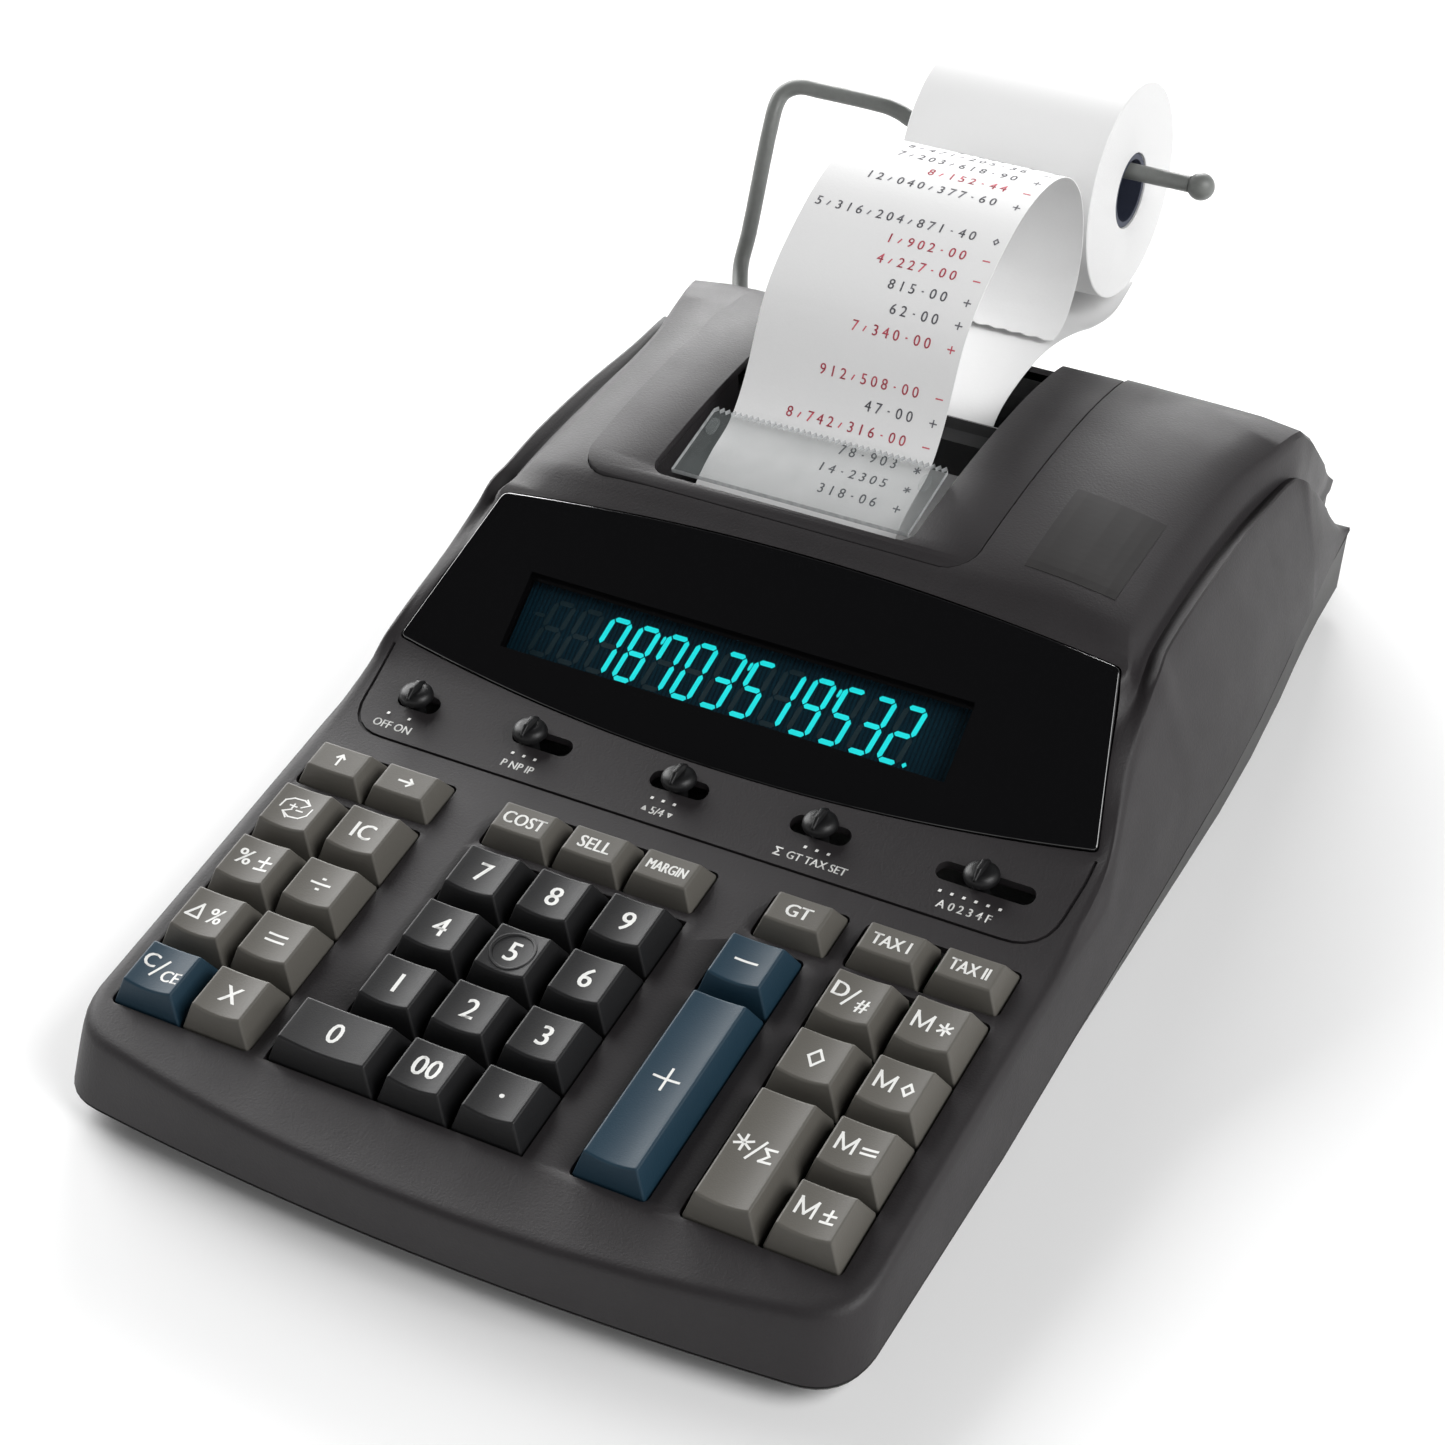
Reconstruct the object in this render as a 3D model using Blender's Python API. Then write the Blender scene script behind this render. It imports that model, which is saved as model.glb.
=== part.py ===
"""Desk calculator with a printer and a paper roll, built as separate named pieces."""
import math

import bmesh
import bpy
from mathutils import Vector

MM = 0.001               # every dimension below is in millimetres
GAP = 0.3                # air left between touching pieces
WALL = 2.4               # wall of the moulded case halves
CENTRE_Y = 24.75         # middle of case and roll together, moved onto the origin

# -- keyboard plane: tilted slab that carries the keys ------------------------
TILT = math.radians(5.5)
KEY_Y, KEY_Z = -99.4, 35.2          # where the top of the "5" key lies
PANEL_DEPTH = 6.45                  # key tops stand this far above the case
ROW = 18.95                         # pitch of the key rows
ROWS = (2.01 * ROW, ROW, 0.0, -ROW, -2 * ROW)
KEY_FOOT = 9.6                      # keys reach this far below their tops
BOARD_DEPTH = 14.4                  # circuit board below the key tops
BOARD_THICK = 1.6
BOARD_HALF_WIDTH = 96.0
WELL_CUT = (-12.0, 4.0)             # heights the key wells are cut between

# -- case -----------------------------------------------------------------
HALF_WIDTH = 104.5
FLOOR_Z = 3.0                       # underside of the bottom case
FLOOR_THICK = 2.4
NOTCH = 19.0                        # the side wings stop short of the rear
FOOT_HALF_WIDTH, FOOT_DEPTH = 84.0, 10.0
FEET = (("foot_front", -152.0), ("foot_rear", 134.0))
TRANSFORMER = (42.0, 84.0, 70.0, 112.0)     # x0, x1, y0, y1
TRANSFORMER_TOP = 44.0

# -- display --------------------------------------------------------------
LENS_SLOPE = math.atan(0.65)
LENS_Z0 = 53.5                      # height of the lens plane at y = 0
LENS_THICK = 2.2
LENS_PROUD = 0.5
LENS_CUT = (-14.0, 6.0)             # depths the opening is cut between
TUBE = (-70.0, 56.0, -14.5, 5.5)    # display tube on the lens plane: x0, x1, y0, y1
TUBE_DEPTHS = (-10.5, -4.5)

# -- paper and roll -------------------------------------------------------
PAPER_X0, PAPER_X1 = -41.1, 15.9
PAPER_THICK = 0.4
ROLL_Y, ROLL_Z, ROLL_R = 188.0, 89.5, 30.0
BORE_R = 10.6                       # hole wound into the roll
CORE_R, CORE_BORE_R = 10.3, 8.7
WIRE_R = 2.3
ARM_X = -92.0
ARM_FOOT = (-84.0, 143.0, 49.5)     # where the wire leaves the case
BALL_R = 3.8

# -- printer --------------------------------------------------------------
PLATEN_Y, PLATEN_Z, PLATEN_R = 43.0, 53.0, 8.0
PLATEN_X0, PLATEN_X1 = -45.0, 20.0
SPOOL_Y, SPOOL_Z = 64.0, 26.0
SPOOL_FLANGE_R, SPOOL_HUB_R = 14.0, 9.0
SPOOL_TALL, SPOOL_FLANGE = 13.2, 1.2
FRAME_Y0, FRAME_Y1 = 30.0, 120.0    # chassis under the cover
COVER_X0, COVER_X1 = -69.5, 41.0
COVER_Y0, COVER_Y1 = 30.0, 126.0
MOUTH_X0, MOUTH_X1 = -50.5, 23.5    # opening between the arms of the cover
MOUTH_Y0 = 34.0


for old in list(bpy.data.objects):
    bpy.data.objects.remove(old)


# ------------------------------------------------------------------ helpers
def material(name, colour, roughness, metallic=0.0):
    mat = bpy.data.materials.new(name)
    mat.use_nodes = True
    shader = mat.node_tree.nodes["Principled BSDF"]
    shader.inputs["Base Color"].default_value = (*colour, 1.0)
    shader.inputs["Roughness"].default_value = roughness
    shader.inputs["Metallic"].default_value = metallic
    return mat


def node(name, bm, mat, origin=(0.0, 0.0, 0.0), smooth=None):
    """Turn a mesh drawn in millimetres into one object with its origin placed."""
    bmesh.ops.remove_doubles(bm, verts=bm.verts, dist=0.001)
    bmesh.ops.recalc_face_normals(bm, faces=bm.faces)
    shift = Vector(origin)
    for vert in bm.verts:
        vert.co = (vert.co - shift) * MM
    mesh = bpy.data.meshes.new(name)
    bm.to_mesh(mesh)
    bm.free()
    obj = bpy.data.objects.new(name, mesh)
    bpy.context.scene.collection.objects.link(obj)
    obj.location = (shift - Vector((0.0, CENTRE_Y, 0.0))) * MM
    if mat is not None:
        mesh.materials.append(mat)
    if smooth is not None:
        mesh.shade_smooth()
        mesh.set_sharp_from_angle(angle=math.radians(smooth))
    return obj


def cutter(name, bm):
    obj = node(name, bm, None)
    obj.hide_render = True
    obj.display_type = "WIRE"
    return obj


def combine(target, other, operation):
    mod = target.modifiers.new(other.name, "BOOLEAN")
    mod.operation = operation
    mod.solver = "EXACT"
    mod.object = other


def bridge(bm, loops, closed=True):
    """Skin a list of equally long point loops."""
    rings = [[bm.verts.new(p) for p in loop] for loop in loops]
    count = len(rings[0])
    for a, b in zip(rings, rings[1:]):
        for i in range(count if closed else count - 1):
            j = (i + 1) % count
            bm.faces.new((a[i], a[j], b[j], b[i]))
    return rings


def loft(bm, loops):
    """Closed body through a list of loops, with flat ends."""
    rings = bridge(bm, loops)
    bm.faces.new(list(reversed(rings[0])))
    bm.faces.new(rings[-1])


def box(bm, x0, x1, y0, y1, z0, z1):
    loft(bm, [[(x0, y0, z), (x1, y0, z), (x1, y1, z), (x0, y1, z)] for z in (z0, z1)])


def circle(radius, sides, phase=0.0):
    return [(radius * math.cos(phase + 2 * math.pi * i / sides),
             radius * math.sin(phase + 2 * math.pi * i / sides)) for i in range(sides)]


def cylinder_x(bm, x0, x1, y, z, radius, sides, bore=None):
    """Round bar or tube lying along X."""
    ring = circle(radius, sides)
    if bore is None:
        loft(bm, [[(x, y + a, z + b) for a, b in ring] for x in (x0, x1)])
        return
    hole = circle(bore, sides)
    loops = [[(x, y + a, z + b) for a, b in outline]
             for x, outline in ((x0, ring), (x1, ring), (x1, hole), (x0, hole), (x0, ring))]
    bridge(bm, loops)


def key_point(x, v, h):
    """Keyboard frame to world: v up the rows, h above the key tops."""
    return Vector((x, KEY_Y + v * math.cos(TILT) - h * math.sin(TILT),
                   KEY_Z + v * math.sin(TILT) + h * math.cos(TILT)))


def lens_point(x, y, h):
    """Point over the display plane, h along its normal."""
    return Vector((x, y - h * math.sin(LENS_SLOPE),
                   LENS_Z0 + math.tan(LENS_SLOPE) * y + h * math.cos(LENS_SLOPE)))


def level(x, y, h):
    """Plain upright frame, for outlines drawn in plan."""
    return (x, y, h)


def prism(bm, outline, place, low, high):
    """Extrude a flat outline between two heights of a local frame."""
    loft(bm, [[place(a, b, h) for a, b in outline] for h in (low, high)])


def rounded(x0, x1, y0, y1, radius, steps=3):
    """Rectangle outline with rounded corners."""
    points = []
    for cx, cy, start in ((x1 - radius, y0 + radius, -90), (x1 - radius, y1 - radius, 0),
                          (x0 + radius, y1 - radius, 90), (x0 + radius, y0 + radius, 180)):
        for i in range(steps + 1):
            a = math.radians(start + 90 * i / steps)
            points.append((cx + radius * math.cos(a), cy + radius * math.sin(a)))
    return points


def strip(bm, path, x0, x1, thick):
    """Thin sheet following a path in the YZ plane, as one closed body."""
    front, back = [], []
    for i, point in enumerate(path):
        before, after = path[max(i - 1, 0)], path[min(i + 1, len(path) - 1)]
        dy, dz = after[0] - before[0], after[1] - before[1]
        length = math.hypot(dy, dz)
        ny, nz = -dz / length * thick / 2, dy / length * thick / 2
        front.append((point[0] + ny, point[1] + nz))
        back.append((point[0] - ny, point[1] - nz))
    loft(bm, [[(x0, y, z), (x1, y, z), (x1, q, r), (x0, q, r)]
              for (y, z), (q, r) in zip(front, back)])


def smooth_path(points, steps):
    """Catmull-Rom curve through the points."""
    ends = [points[0]] + list(points) + [points[-1]]
    out = []
    for a, b, c, d in zip(ends, ends[1:], ends[2:], ends[3:]):
        for i in range(steps):
            t = i / steps
            out.append(tuple(0.5 * (2 * q + (r - p) * t + (2 * p - 5 * q + 4 * r - s) * t * t
                                    + (3 * q - p - 3 * r + s) * t ** 3)
                             for p, q, r, s in zip(a, b, c, d)))
    out.append(tuple(points[-1]))
    return out


# ------------------------------------------------------- shape of the top case
def seam_z(y):
    """The line where the case halves meet climbs towards the rear."""
    return 7.5 if y < -85 else 7.5 + (y + 85) * 0.0705


def panel_z(y):
    return 38.3 + math.tan(TILT) * y


def flat_row(y, width, bow=0.0, drop=0.0, inset=0.0):
    """One crosswise row of the keyboard slab, from the right seam to the middle."""
    z = panel_z(y) - drop
    low = seam_z(y)
    xs = (width, width - 0.5, width - 1.3, width - 2.9, width - 6, width - 10.5,
          width - 15.5, width - 20.5, 76.0, 56.0, 28.0, 0.0)
    heights = [low, low + 0.6 * (z - low), z - 2.2, z - 0.5] + [z] * 8
    return [(x - (inset if i < 8 else 0.0), y + bow * (x / 95.0) ** 2, h)
            for i, (x, h) in enumerate(zip(xs, heights))]


def hump_row(y, flank, crest, valley, edge, deck, width=HALF_WIDTH, back=0.0):
    """One row of the printer hump; back > 0 pulls the side wing forward."""
    low = seam_z(y - back)
    (cx, cz), (vx, vz), (ex, ez) = crest, valley, edge
    mid = (cx + 0.45 * (width - 2.4 - cx), cz - 0.4 * (cz - flank))
    return [(width, y - back, low), (width - 0.4, y - back, low + 0.5 * (flank - low)),
            (width - 2.4, y - back, flank), (mid[0], y - back, mid[1]), (cx, y - back, cz),
            (cx - 2.2, y - back, cz - 0.35 * (cz - vz)), (vx, y - 0.9 * back, vz),
            (vx - 1.4, y, vz + 0.4 * (ez - vz)), (ex, y, ez),
            (56.0, y, deck - 0.4), (28.0, y, deck), (0.0, y, deck)]


def display_row(y, flank, crest, side):
    """One row beside the sloping display."""
    z = LENS_Z0 + math.tan(LENS_SLOPE) * y
    low = seam_z(y)
    cx, cz = crest
    return [(HALF_WIDTH, y, low), (HALF_WIDTH - 0.4, y, low + 0.5 * (flank - low)),
            (HALF_WIDTH - 1.6, y, flank), (cx + 1.6, y, cz - 2.5), (cx, y, cz),
            (cx - 1.5, y, 0.5 * (cz + z)), (side, y, z), (side - 3, y, z), (76.0, y, z),
            (56.0, y, z), (28.0, y, z), (0.0, y, z)]


def case_rows():
    front_low = [(x, -168.5 + 5.0 * (x / 95.0) ** 2, 7.5)
                 for x in (102.5, 100.5, 97.5, 94.0, 90.0, 86.0, 82.0, 78.0, 70.0, 52.0, 26.0, 0.0)]
    front_mid = [(HALF_WIDTH, -160.0, 7.5), (103.2, -161.2, 14.0)] + [
        (x, -168.0 + 7.5 * (x / 95.0) ** 2, 18.5)
        for x in (100.2, 96.0, 92.0, 88.0, 84.0, 79.0, 71.0, 52.0, 26.0, 0.0)]
    rows = [front_low, front_mid,
            flat_row(-166.6, HALF_WIDTH, bow=10.5, drop=0.3),
            flat_row(-160.0, HALF_WIDTH, bow=8.0),
            flat_row(-140.0, HALF_WIDTH, bow=3.0),
            flat_row(-105.0, HALF_WIDTH), flat_row(-70.0, HALF_WIDTH)]
    slab = flat_row(-46.0, HALF_WIDTH)
    rows.append(slab)
    rows.append([(x, -26.0, z + (2.6 if i > 4 else 3.4 * (i == 4))) for i, (x, y, z) in
                 enumerate(flat_row(-26.0, HALF_WIDTH))])
    rows += [
        display_row(-18.0, 33.0, (100.5, 42.5), 97.8),
        display_row(2.0, 36.0, (96.3, 53.0), 91.8),
        hump_row(19.0, 38.0, (94.4, 60.8), (90.5, 60.5), (87.5, 65.5), 66.0),
        hump_row(25.5, 39.0, (94.0, 64.0), (89.5, 62.0), (85.0, 67.8), 70.2),
        hump_row(32.0, 39.5, (93.1, 65.2), (88.8, 63.6), (83.0, 70.0), 74.0),
        hump_row(48.0, 41.0, (93.0, 66.4), (88.4, 64.6), (80.5, 71.5), 76.0),
        hump_row(72.0, 42.0, (92.8, 65.9), (88.2, 64.2), (80.5, 71.8), 77.0, width=103.6),
        hump_row(98.0, 42.5, (92.6, 63.6), (88.8, 62.2), (83.0, 71.0), 76.2, width=101.6),
        hump_row(116.0, 43.0, (93.6, 61.6), (91.0, 60.6), (87.0, 69.6), 73.8, width=100.4),
        hump_row(128.0, 46.0, (95.2, 58.6), (92.0, 57.6), (89.5, 68.0), 70.6, width=99.8, back=8),
        hump_row(134.5, 45.0, (95.6, 51.5), (92.4, 50.6), (90.0, 61.8), 65.0, width=99.2, back=8),
        hump_row(151.0, 36.0, (94.8, 38.8), (91.0, 38.2), (88.5, 43.5), 46.5, width=98.4, back=13),
        hump_row(166.0, 26.5, (92.8, 28.0), (87.4, 27.6), (82.0, 29.3), 29.5, width=97.9, back=18.5),
    ]
    last = hump_row(170.5, 25.0, (92.8, 25.0), (87.2, 25.0), (79.0, 25.0), 25.0, width=97.7,
                    back=NOTCH)
    rows.append([(x, y, seam_z(151.5)) for x, y, z in last])
    return [[(-x, y, z) for x, y, z in row] + [(x, y, z) for x, y, z in reversed(row[:-1])]
            for row in rows]


def outline_of(rows):
    """The seam: the outer edge of the grid of rows, counter-clockwise."""
    right = [row[-1] for row in rows]
    left = [row[0] for row in rows]
    return (list(rows[0]) + right[1:] + list(reversed(rows[-1][:-1]))
            + list(reversed(left[1:-1])))


def inset(points, distance, z_of):
    """Move a plan outline inwards."""
    out, count = [], len(points)
    for i, p in enumerate(points):
        a, b = points[i - 1], points[(i + 1) % count]
        one = Vector((p[1] - a[1], a[0] - p[0])).normalized()
        two = Vector((b[1] - p[1], p[0] - b[0])).normalized()
        normal = (one + two).normalized()
        reach = distance / max(0.6, normal.dot(one))
        out.append((p[0] - normal.x * reach, p[1] - normal.y * reach, z_of(p)))
    return out


def build_top_case(mat):
    rows = case_rows()
    height, width = len(rows), len(rows[0])
    bm = bmesh.new()
    outer = [[bm.verts.new(p) for p in row] for row in rows]
    for r in range(height - 1):
        for c in range(width - 1):
            bm.faces.new((outer[r][c], outer[r][c + 1], outer[r + 1][c + 1], outer[r + 1][c]))
    bm.normal_update()
    rim = outline_of(rows)
    inner_rim = dict(zip(rim, inset(rim, WALL, lambda p: p[2])))
    inner = []
    for r in range(height):
        inner.append([])
        for c in range(width):
            if r in (0, height - 1) or c in (0, width - 1):
                point = Vector(inner_rim[tuple(rows[r][c])])
            else:
                point = outer[r][c].co - outer[r][c].normal * WALL
            inner[-1].append(bm.verts.new(point))
    for r in range(height - 1):
        for c in range(width - 1):
            bm.faces.new((inner[r][c], inner[r + 1][c], inner[r + 1][c + 1], inner[r][c + 1]))
    edge = ([(0, c) for c in range(width)] + [(r, width - 1) for r in range(1, height)]
            + [(height - 1, c) for c in range(width - 2, -1, -1)]
            + [(r, 0) for r in range(height - 2, 0, -1)])
    for (r, c), (s, d) in zip(edge, edge[1:] + edge[:1]):
        bm.faces.new((outer[r][c], inner[r][c], inner[s][d], outer[s][d]))
    case = node("top_case", bm, mat, smooth=35)
    return case, rim


# ------------------------------------------------------------------ materials
case_black = material("case_plastic", (0.045, 0.042, 0.043), 0.55)
base_grey = material("base_plastic", (0.075, 0.075, 0.072), 0.55)
cover_black = material("cover_plastic", (0.043, 0.041, 0.042), 0.55)
key_grey = material("key_grey", (0.13, 0.125, 0.11), 0.5)
key_black = material("key_black", (0.012, 0.012, 0.013), 0.45)
key_blue = material("key_blue", (0.018, 0.045, 0.08), 0.5)
knob_black = material("knob_black", (0.01, 0.01, 0.01), 0.4)
lens_black = material("display_lens", (0.004, 0.004, 0.005), 0.05)
tube_glass = material("display_tube", (0.01, 0.03, 0.04), 0.1)
clear = material("clear_plastic", (0.8, 0.82, 0.82), 0.1)
frame_black = material("printer_plastic", (0.02, 0.02, 0.02), 0.5)
rubber = material("rubber", (0.03, 0.03, 0.03), 0.85)
spool_grey = material("spool_plastic", (0.06, 0.06, 0.06), 0.5)
paper = material("paper", (0.85, 0.85, 0.84), 0.8)
card = material("card_core", (0.05, 0.06, 0.09), 0.7)
wire = material("wire_steel", (0.25, 0.26, 0.26), 0.4, 1.0)
board = material("circuit_board", (0.03, 0.12, 0.05), 0.6)
steel = material("transformer_steel", (0.35, 0.35, 0.34), 0.45, 1.0)

# ------------------------------------------------------------------ top case
top_case, rim = build_top_case(case_black)

# Lens outline: straight slanting sides, bowed long edges.
LENS_SPAN = 8


def lens_outline(grow):
    bottom = [(x, -25.0 + 7.5 * (x / 97.0) ** 2 - grow)
              for x in [(-97.0 - grow) + i * (194.0 + 2 * grow) / LENS_SPAN
                        for i in range(LENS_SPAN + 1)]]
    top = [(x, 24.2 - 4.5 * (x / 86.0) ** 2 + grow)
           for x in [(86.0 + grow) - i * (172.0 + 2 * grow) / LENS_SPAN
                     for i in range(LENS_SPAN + 1)]]
    return bottom + top


bm = bmesh.new()
prism(bm, lens_outline(GAP), lens_point, *LENS_CUT)
combine(top_case, cutter("lens_opening", bm), "DIFFERENCE")

# Wells for the key groups: (x0, x1, v0, v1).
SMALL_V0, SMALL_V1 = ROWS[0] - 7.3, ROWS[0] + 7.3
BLOCK_V0, BLOCK_V1 = ROWS[4] - 9.6, ROWS[1] + 9.6
LEFT_X = (-87.2, -67.6)
DIGIT_X = (-33.6, -13.8, 6.0)
PLUS_X, GT_X = 37.5, 41.0
RIGHT_X = (65.1, 84.9)
ZERO_X, ZERO_WIDTH = -38.6, 28.4
MARGIN = 10.0
wells = [(LEFT_X[0] - MARGIN, LEFT_X[1] + MARGIN, BLOCK_V0, BLOCK_V1),
         (LEFT_X[0] - MARGIN, LEFT_X[1] + MARGIN, SMALL_V0, SMALL_V1),
         (DIGIT_X[0] - MARGIN, DIGIT_X[2] + MARGIN, SMALL_V0, SMALL_V1),
         (PLUS_X - MARGIN, PLUS_X + MARGIN, BLOCK_V0, BLOCK_V1),
         (GT_X - MARGIN, GT_X + MARGIN, SMALL_V0, SMALL_V1),
         (RIGHT_X[0] - MARGIN, RIGHT_X[1] + MARGIN, SMALL_V0, SMALL_V1),
         (RIGHT_X[0] - MARGIN, RIGHT_X[1] + MARGIN, BLOCK_V0, BLOCK_V1)]
bm = bmesh.new()
for x0, x1, v0, v1 in wells:
    prism(bm, rounded(x0, x1, v0, v1, 1.4, 1), key_point, *WELL_CUT)
left, right = DIGIT_X[0] - MARGIN, DIGIT_X[2] + MARGIN
zero_left, zero_top = ZERO_X - ZERO_WIDTH / 2 - 0.8, ROWS[4] + 9.6
prism(bm, [(zero_left, BLOCK_V0), (right, BLOCK_V0), (right, BLOCK_V1), (left, BLOCK_V1),
           (left, zero_top), (zero_left, zero_top)], key_point, *WELL_CUT)
combine(top_case, cutter("key_wells", bm), "DIFFERENCE")

# Slider slots: (name, knob x, slot x0, slot x1).
SLIDERS = (("power", -82.6, -88.0, -76.0), ("print", -49.0, -54.0, -37.2),
           ("rounding", -6.6, -14.6, 1.4), ("total", 32.1, 24.1, 40.1),
           ("decimal", 74.5, 62.8, 88.2))
SLIDER_Y, SLOT_HALF = -33.0, 2.6
SLOT_CUT = (25.0, 50.0)             # heights the slots are cut between
COVER_CUT = (58.5, 90.0)            # and the opening under the printer cover
PAPER_WAY = 20.0                    # that opening runs on this far behind the cover
bm = bmesh.new()
for _, _, x0, x1 in SLIDERS:
    prism(bm, rounded(x0, x1, SLIDER_Y - SLOT_HALF, SLIDER_Y + SLOT_HALF, 2.0, 2),
          level, *SLOT_CUT)
combine(top_case, cutter("slider_slots", bm), "DIFFERENCE")

# Opening under the printer cover, and the way in for the paper at the rear.
bm = bmesh.new()
prism(bm, rounded(COVER_X0 - GAP, COVER_X1 + GAP, COVER_Y0 - GAP, COVER_Y1 + PAPER_WAY, 4.0, 2),
      level, *COVER_CUT)
combine(top_case, cutter("cover_opening", bm), "DIFFERENCE")

# ------------------------------------------------------------------ bottom case


def thinned(points, spacing):
    """Drop crowded points of an outline but keep its sharp corners."""
    kept = []
    for i, p in enumerate(points):
        a, b = points[i - 1], points[(i + 1) % len(points)]
        turn = Vector((p[0] - a[0], p[1] - a[1])).angle(Vector((b[0] - p[0], b[1] - p[1])))
        if turn > math.radians(50) or not kept or math.dist(p[:2], kept[-1][:2]) > spacing:
            kept.append(p)
    while math.dist(kept[0][:2], kept[-1][:2]) < spacing:
        kept.pop()
    return kept


bm = bmesh.new()
base_rim = [(x, y, z - GAP) for x, y, z in thinned(rim, 6.5)]
loft(bm, [inset(base_rim, 4.0, lambda p: FLOOR_Z), inset(base_rim, 2.0, lambda p: FLOOR_Z + 1.6),
          base_rim, inset(base_rim, WALL, lambda p: p[2]),
          inset(base_rim, 5.2, lambda p: FLOOR_Z + FLOOR_THICK)])
bottom_case = node("bottom_case", bm, base_grey, smooth=35)
INLET_X, INLET_Z, INLET_R = 62.0, 15.0, 3.6
bm = bmesh.new()
loft(bm, [[(INLET_X + a, y, INLET_Z + b) for a, b in circle(INLET_R, 12)] for y in (155.0, 180.0)])
combine(bottom_case, cutter("cord_inlet", bm), "DIFFERENCE")

FOOT_Z = FLOOR_Z - GAP
for name, y0 in FEET:
    bm = bmesh.new()
    prism(bm, rounded(-FOOT_HALF_WIDTH, FOOT_HALF_WIDTH, y0, y0 + FOOT_DEPTH, 4.9, 3), level,
          0.0, FOOT_Z)
    node(name, bm, rubber)

# ------------------------------------------------------------------ keys
DISH = 0.9
DISH_STEPS = 4


def build_key(name, x, v, width, depth, mat, low=0.0, dish=DISH, taper=(5.0, 5.2)):
    """Tapered key with a hollowed top; low sinks the top below its neighbours."""
    origin = key_point(x, v, -KEY_FOOT)
    half_w, half_d = width / 2, depth / 2
    top_w, top_d = half_w - taper[0] / 2, half_d - taper[1] / 2
    top = -low
    sides = (-KEY_FOOT, -PANEL_DEPTH - 0.4)
    bm = bmesh.new()

    def edge_point(side, i):
        u = -1 + 2 * i / DISH_STEPS
        h = top - dish * (1 - u * u)
        share = (h - sides[1]) / (top - sides[1])
        return key_point(x + u * top_w, v + side * (half_d + (top_d - half_d) * share), h)

    rings = [[bm.verts.new(key_point(x + a * half_w, v + b * half_d, h))
              for a, b in ((-1, -1), (1, -1), (1, 1), (-1, 1))] for h in sides]
    front = [bm.verts.new(edge_point(-1, i)) for i in range(DISH_STEPS + 1)]
    back = [bm.verts.new(edge_point(1, i)) for i in range(DISH_STEPS + 1)]
    bm.faces.new(list(reversed(rings[0])))
    for i in range(4):
        j = (i + 1) % 4
        bm.faces.new((rings[0][i], rings[0][j], rings[1][j], rings[1][i]))
    bm.faces.new([rings[1][0], rings[1][1]] + list(reversed(front)))
    bm.faces.new([rings[1][2], rings[1][3]] + back)
    bm.faces.new((rings[1][1], rings[1][2], back[-1], front[-1]))
    bm.faces.new((rings[1][3], rings[1][0], front[0], back[0]))
    for i in range(DISH_STEPS):
        bm.faces.new((front[i], front[i + 1], back[i + 1], back[i]))
    return node("key_" + name, bm, mat, origin=origin)


KEY_W, KEY_D = 18.4, 18.0
SMALL_D, SMALL_LOW = 13.4, 1.6
for names, x in ((("change_sign", "percent_change", "delta_percent", "clear"), LEFT_X[0]),
                 (("item_count", "divide", "equals", "multiply"), LEFT_X[1])):
    for i, name in enumerate(names):
        build_key(name, x, ROWS[i + 1], KEY_W, KEY_D, key_blue if name == "clear" else key_grey)
for name, x in (("paper_feed", LEFT_X[0]), ("backspace", LEFT_X[1]), ("cost", DIGIT_X[0]),
                ("sell", DIGIT_X[1]), ("margin", DIGIT_X[2]), ("grand_total", GT_X),
                ("tax_one", RIGHT_X[0]), ("tax_two", RIGHT_X[1])):
    build_key(name, x, ROWS[0], KEY_W, SMALL_D, key_grey, low=SMALL_LOW, dish=0.2,
              taper=(4.4, 5.0))
for r, digits in enumerate((("7", "8", "9"), ("4", "5", "6"), ("1", "2", "3"))):
    for x, digit in zip(DIGIT_X, digits):
        build_key(digit, x, ROWS[r + 1], KEY_W, KEY_D, key_black)
build_key("0", ZERO_X, ROWS[4], ZERO_WIDTH, KEY_D, key_black)
build_key("00", DIGIT_X[1], ROWS[4], KEY_W, KEY_D, key_black)
build_key("point", DIGIT_X[2], ROWS[4], KEY_W, KEY_D, key_black)
build_key("minus", PLUS_X, ROWS[1], KEY_W, KEY_D, key_blue)
build_key("plus", PLUS_X, ROWS[3], KEY_W, KEY_D + 2 * ROW, key_blue)
build_key("item_number", RIGHT_X[0], ROWS[1], KEY_W, KEY_D, key_grey)
build_key("subtotal", RIGHT_X[0], ROWS[2], KEY_W, KEY_D, key_grey)
build_key("total", RIGHT_X[0], (ROWS[3] + ROWS[4]) / 2, KEY_W, KEY_D + ROW, key_grey)
for i, name in enumerate(("memory_total", "memory_subtotal", "memory_equals", "memory_plus")):
    build_key(name, RIGHT_X[1], ROWS[i + 1], KEY_W, KEY_D, key_grey)

bm = bmesh.new()
prism(bm, rounded(-BOARD_HALF_WIDTH, BOARD_HALF_WIDTH, ROWS[4] - 8.0, ROWS[0] + 8.0, 3.0, 1),
      key_point, -BOARD_DEPTH - BOARD_THICK, -BOARD_DEPTH)
node("key_board", bm, board)

# ------------------------------------------------------------------ sliders
KNOB_R, KNOB_TALL, STEM_R, STEM_LOW = 4.3, 4.2, 2.0, 27.5
KNOB_BASE = 37.9
for name, x, _, _ in SLIDERS:
    bm = bmesh.new()
    profile = ((STEM_R, STEM_LOW), (STEM_R, KNOB_BASE), (KNOB_R, KNOB_BASE),
               (KNOB_R * 0.86, KNOB_BASE + KNOB_TALL))
    loft(bm, [[(x + a, SLIDER_Y + b, z) for a, b in circle(r, 12)] for r, z in profile])
    node("slider_" + name, bm, knob_black, origin=(x, SLIDER_Y, KNOB_BASE), smooth=40)

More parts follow.
